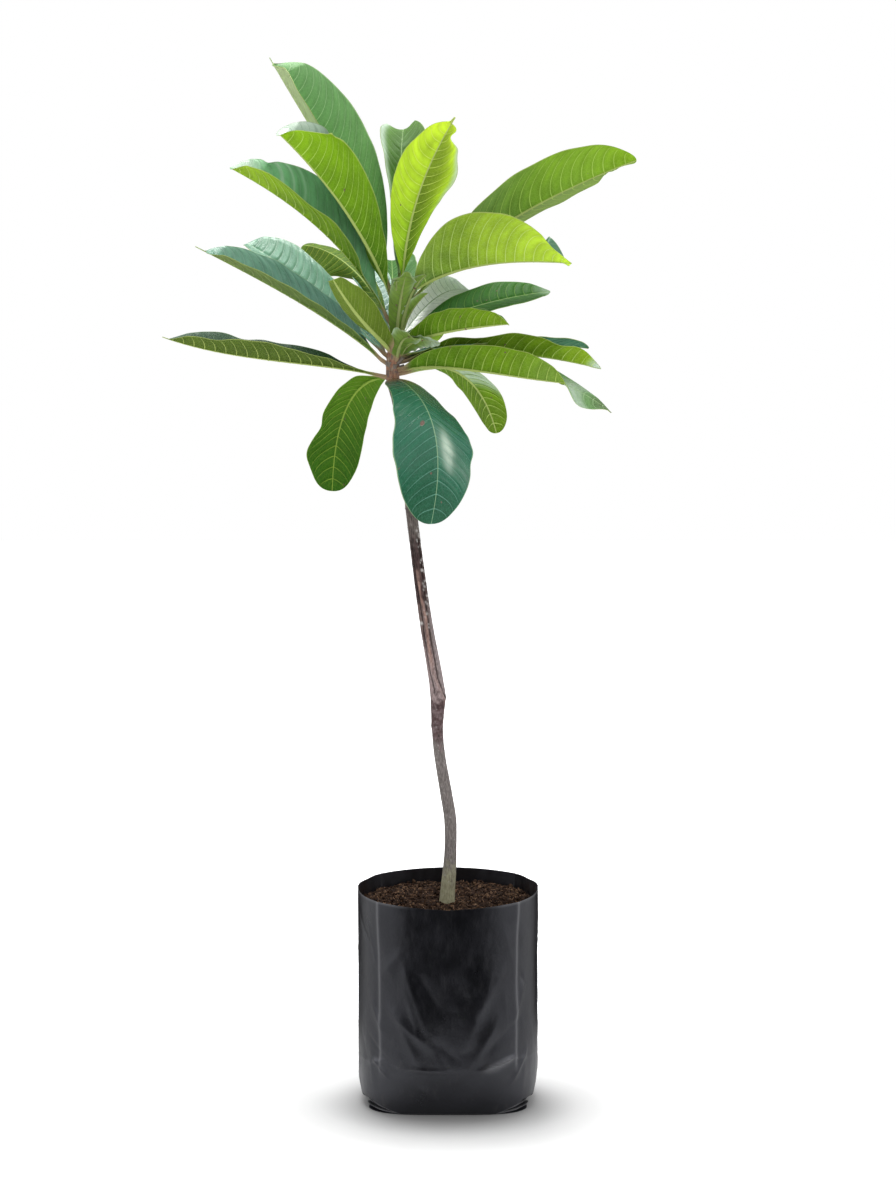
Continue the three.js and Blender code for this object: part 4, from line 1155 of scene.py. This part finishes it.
def soilHeight(x, y):
    dice = random.Random(3)
    lumps = np.zeros(len(x))
    for size, height in soil["lumps"]:
        for _ in range(4):
            way, phase = dice.uniform(0, 6.28), dice.uniform(0, 6.28)
            lumps += height / 2 * np.sin((x * math.cos(way) + y * math.sin(way)) * 6.28 / size + phase)
    out = np.hypot(x, y)
    return (
        soil["level"] + soil["backRise"] * y / 95 - soil["edgeDip"] * smoothStep(out, 60, 98)
        + lumps * smoothStep(out, 4, 30) * 0.8
    )


def makeSoil():
    piece = newTube("soil_bed", soil["around"], soil["rings"])
    points = readVertices(piece)
    angle = np.arctan2(points[:, 1], points[:, 0])
    row = np.round(points[:, 2] * soil["rings"])
    share = np.clip((soil["rings"] - row) / (soil["rings"] - 3), 0, 1)
    reach = (bagRadius(angle, np.full(len(row), soil["brim"])) - 1.4) * share
    x, y = reach * np.cos(angle), reach * np.sin(angle)
    z = soilHeight(x, y)
    z = np.where(row < 1.5, soil["bottom"], z)
    x, y = np.where(row < 0.5, 0, x), np.where(row < 0.5, 0, y)
    writeVertices(piece, np.stack([x, y, z], 1) * mm)
    writeValue(piece, "grain", np.full(len(x), 0.05))
    editMesh(piece, weld, faceOut)
    earth = soilMaterial()
    finishPiece(piece, earth, ["soil"])
    scatterCrumbs(earth)
    print("soil done")


def scatterCrumbs(earth):
    bpy.ops.mesh.primitive_ico_sphere_add(subdivisions=1, radius=1)
    pattern = bpy.context.object
    shape = readVertices(pattern)
    faces = np.array([list(face.vertices) for face in pattern.data.polygons])
    bpy.data.objects.remove(pattern)
    dice = np.random.default_rng(11)
    count = soil["crumbs"] + soil["chips"]
    angle, away = dice.uniform(-math.pi, math.pi, count), np.sqrt(dice.uniform(0.008, 1, count))
    reach = (bagRadius(angle, np.full(count, soil["brim"])) - 4) * away
    size = np.exp(dice.normal(0.05, 0.38, count))[:, None] * dice.uniform(0.6, 1.25, (count, 3))
    chip = np.arange(count) >= soil["crumbs"]
    size[chip] = dice.uniform(0.35, 0.7, (chip.sum(), 3))
    size[chip, 0] = dice.uniform(2.0, soil["largest"], chip.sum())
    size = np.minimum(size, soil["largest"])
    x, y = reach * np.cos(angle), reach * np.sin(angle)
    ground = soilHeight(x, y) + size[:, 2] * dice.uniform(0.0, 0.7, count)
    turn, lean = dice.uniform(0, 2 * math.pi, count), dice.uniform(-0.45, 0.45, count)
    body = shape[None] * (1 + dice.uniform(-0.28, 0.28, (count, len(shape), 1))) * size[:, None]
    out, up = turned(body[:, :, 0], body[:, :, 2], lean[:, None])
    across, along = turned(out, body[:, :, 1], turn[:, None])
    placed = np.stack([across + x[:, None], along + y[:, None], up + ground[:, None]], 2)
    joined = bpy.data.meshes.new("soil_crumbs")
    every = (faces[None] + np.arange(count)[:, None, None] * len(shape)).reshape(-1, 3)
    joined.from_pydata((placed.reshape(-1, 3) * mm).tolist(), [], every.tolist())
    piece = bpy.data.objects.new("soil_crumbs", joined)
    bpy.context.collection.objects.link(piece)
    shade = np.where(chip, dice.uniform(0.6, 1.0, count), dice.uniform(0, 1, count) ** 4 * 0.9)
    writeValue(piece, "grain", np.repeat(shade, len(shape)))
    finishPiece(piece, earth, sharpAbove=60)


def soilMaterial():
    material, tree, shader = newMaterial("soil", **{"Specular IOR Level": 0.15})
    rough = noiseAt(tree, coordinates(tree), 420.0, 5.0, 0.7)
    dark, light = (rampOf(tree, rough, 0.35, 0.65, *soil[tone]) for tone in ("dark", "light"))
    colour = blendColours(tree, maskOf(tree, "grain"), dark, light)
    dressShader(tree, shader, colour, rangeOf(tree, rough, 0.3, 0.7, 0.7, 0.95), rough, 0.8, 0.9)
    return material


# Studio: white floor, softbox overhead, two bright sides, and fills that the camera and reflections don't see.
# Straight ahead the film mirrors only the floor close by, which keeps its middle black
studio = dict(
    floorSize=14, floorShade=(0.48, 0.8), keyPower=56, keySize=1.3, keyPlace=(-0.15, 0.4, 2.75),
    front=0.06, sides=1.2, top=0.7, softened=0.58, nearFloor=(0.16, 0.44), fadesFrom=(0.04, 0.215),
    shadeReach=(0.055, 0.115), plantPlace=(0.0, 0.035, 0.0), mirrorOval=(1.1, 1.0, 1.0), shadeOval=(0.78, 1.0, 1.0),
    fillSize=1.4, nearMirror=(0.15, 1.0), asideReach=(0.6, 0.9), asideMirror=(1.0, 0.6), glowReach=(0.25, 1.2),
    glow=(0.0, 0.5), sideReach=(0.45, 0.9), topReach=(0.3, 0.75),
    fills=[(0.5, -2.3, 1.1, 16), (-0.4, 2.4, 1.2, 14)],
)


def addLight(name, place, size, power, aim=(-0.03, 0, 0.8)):
    bpy.ops.object.light_add(type="AREA", location=place)
    light = bpy.context.object
    light.name = name
    light.data.shape = "DISK"
    light.data.size = size
    light.data.energy = power
    way = np.array(aim) - np.array(place)
    light.rotation_euler = (math.acos(-way[2] / np.linalg.norm(way)), 0, math.atan2(way[0], -way[1]) + math.pi)
    return light


def floorMaterial():
    material, tree, shader = newMaterial("studioFloor", Roughness=1.0, **{"Specular IOR Level": 0})
    coords = coordinates(tree)
    place = mapped(tree, coords, studio["mirrorOval"], studio["plantPlace"])
    away = lengthOf(tree, place)
    spread = lengthOf(tree, mapped(tree, coords, studio["shadeOval"], studio["plantPlace"]))
    # away from the plant the floor glows up to the white of the wall; round the plant its colour is darker, a painted
    # shadow
    rays = addNode(tree, "ShaderNodeLightPath").outputs
    aside = calc(tree, "DIVIDE", calc(tree, "ABSOLUTE", partsOf(tree, place)[0]), away)
    ahead = product(
        tree, rangeOf(tree, away, *studio["nearFloor"], *studio["nearMirror"]),
        rangeOf(tree, aside, *studio["asideReach"], *studio["asideMirror"]),
    )
    kept = calc(tree, "SUBTRACT", 1.0, product(tree, rays["Is Glossy Ray"], ahead))
    faded = product(tree, rays["Is Camera Ray"], rangeOf(tree, spread, *studio["fadesFrom"], *studio["glow"]))
    far = rangeOf(tree, away, *studio["glowReach"], *studio["glow"])
    glow = calc(tree, "MULTIPLY_ADD", far, kept, faded)
    # painted shadow: the floor's colour is darker round the plant
    white = product(tree, kept, rangeOf(tree, spread, *studio["shadeReach"], *studio["floorShade"]))
    connect(tree, greyOf(tree, glow), shader.inputs["Emission Color"])
    connect(tree, greyOf(tree, white), shader.inputs["Base Color"])
    shader.inputs["Emission Strength"].default_value = 1.0
    return material


def makeWorld():
    world = bpy.data.worlds.new("studioWorld")
    bpy.context.scene.world = world
    world.use_nodes = True
    tree = world.node_tree
    tree.nodes.clear()
    way = partsOf(tree, coordinates(tree, "Generated"))
    sides = rangeOf(tree, calc(tree, "ABSOLUTE", way[0]), *studio["sideReach"], studio["front"], studio["sides"])
    light = calc(tree, "ADD", sides, rangeOf(tree, way[2], *studio["topReach"], 0.0, studio["top"]))
    path = addNode(tree, "ShaderNodeLightPath").outputs
    light = product(tree, light, calc(tree, "MULTIPLY_ADD", path["Is Diffuse Ray"], studio["softened"] - 1, 1.0))
    shown = addNode(tree, "ShaderNodeMix", {0: path["Is Camera Ray"], 2: light, 3: 1.0}, data_type="FLOAT")
    glow = addNode(tree, "ShaderNodeBackground", {"Color": rgb(1, 1, 1), "Strength": shown.outputs[0]})
    connect(tree, glow.outputs[0], addNode(tree, "ShaderNodeOutputWorld").inputs["Surface"])


def makeStudio():
    bpy.ops.mesh.primitive_plane_add(size=studio["floorSize"])
    floor = bpy.context.object
    floor.name = "studio_floor"
    floor.data.materials.append(floorMaterial())
    addLight("softbox", studio["keyPlace"], studio["keySize"], studio["keyPower"])
    for number, (x, y, z, power) in enumerate(studio["fills"]):
        fill = addLight("fill_%d" % (number + 1), (x, y, z), studio["fillSize"], power)
        fill.visible_glossy = False
        fill.visible_camera = False
    makeWorld()
    bpy.context.scene.view_settings.view_transform = "Standard"
    print("studio done")


makeLeaves()
makeTrunk()
makeBag()
makeSoil()
makeStudio()
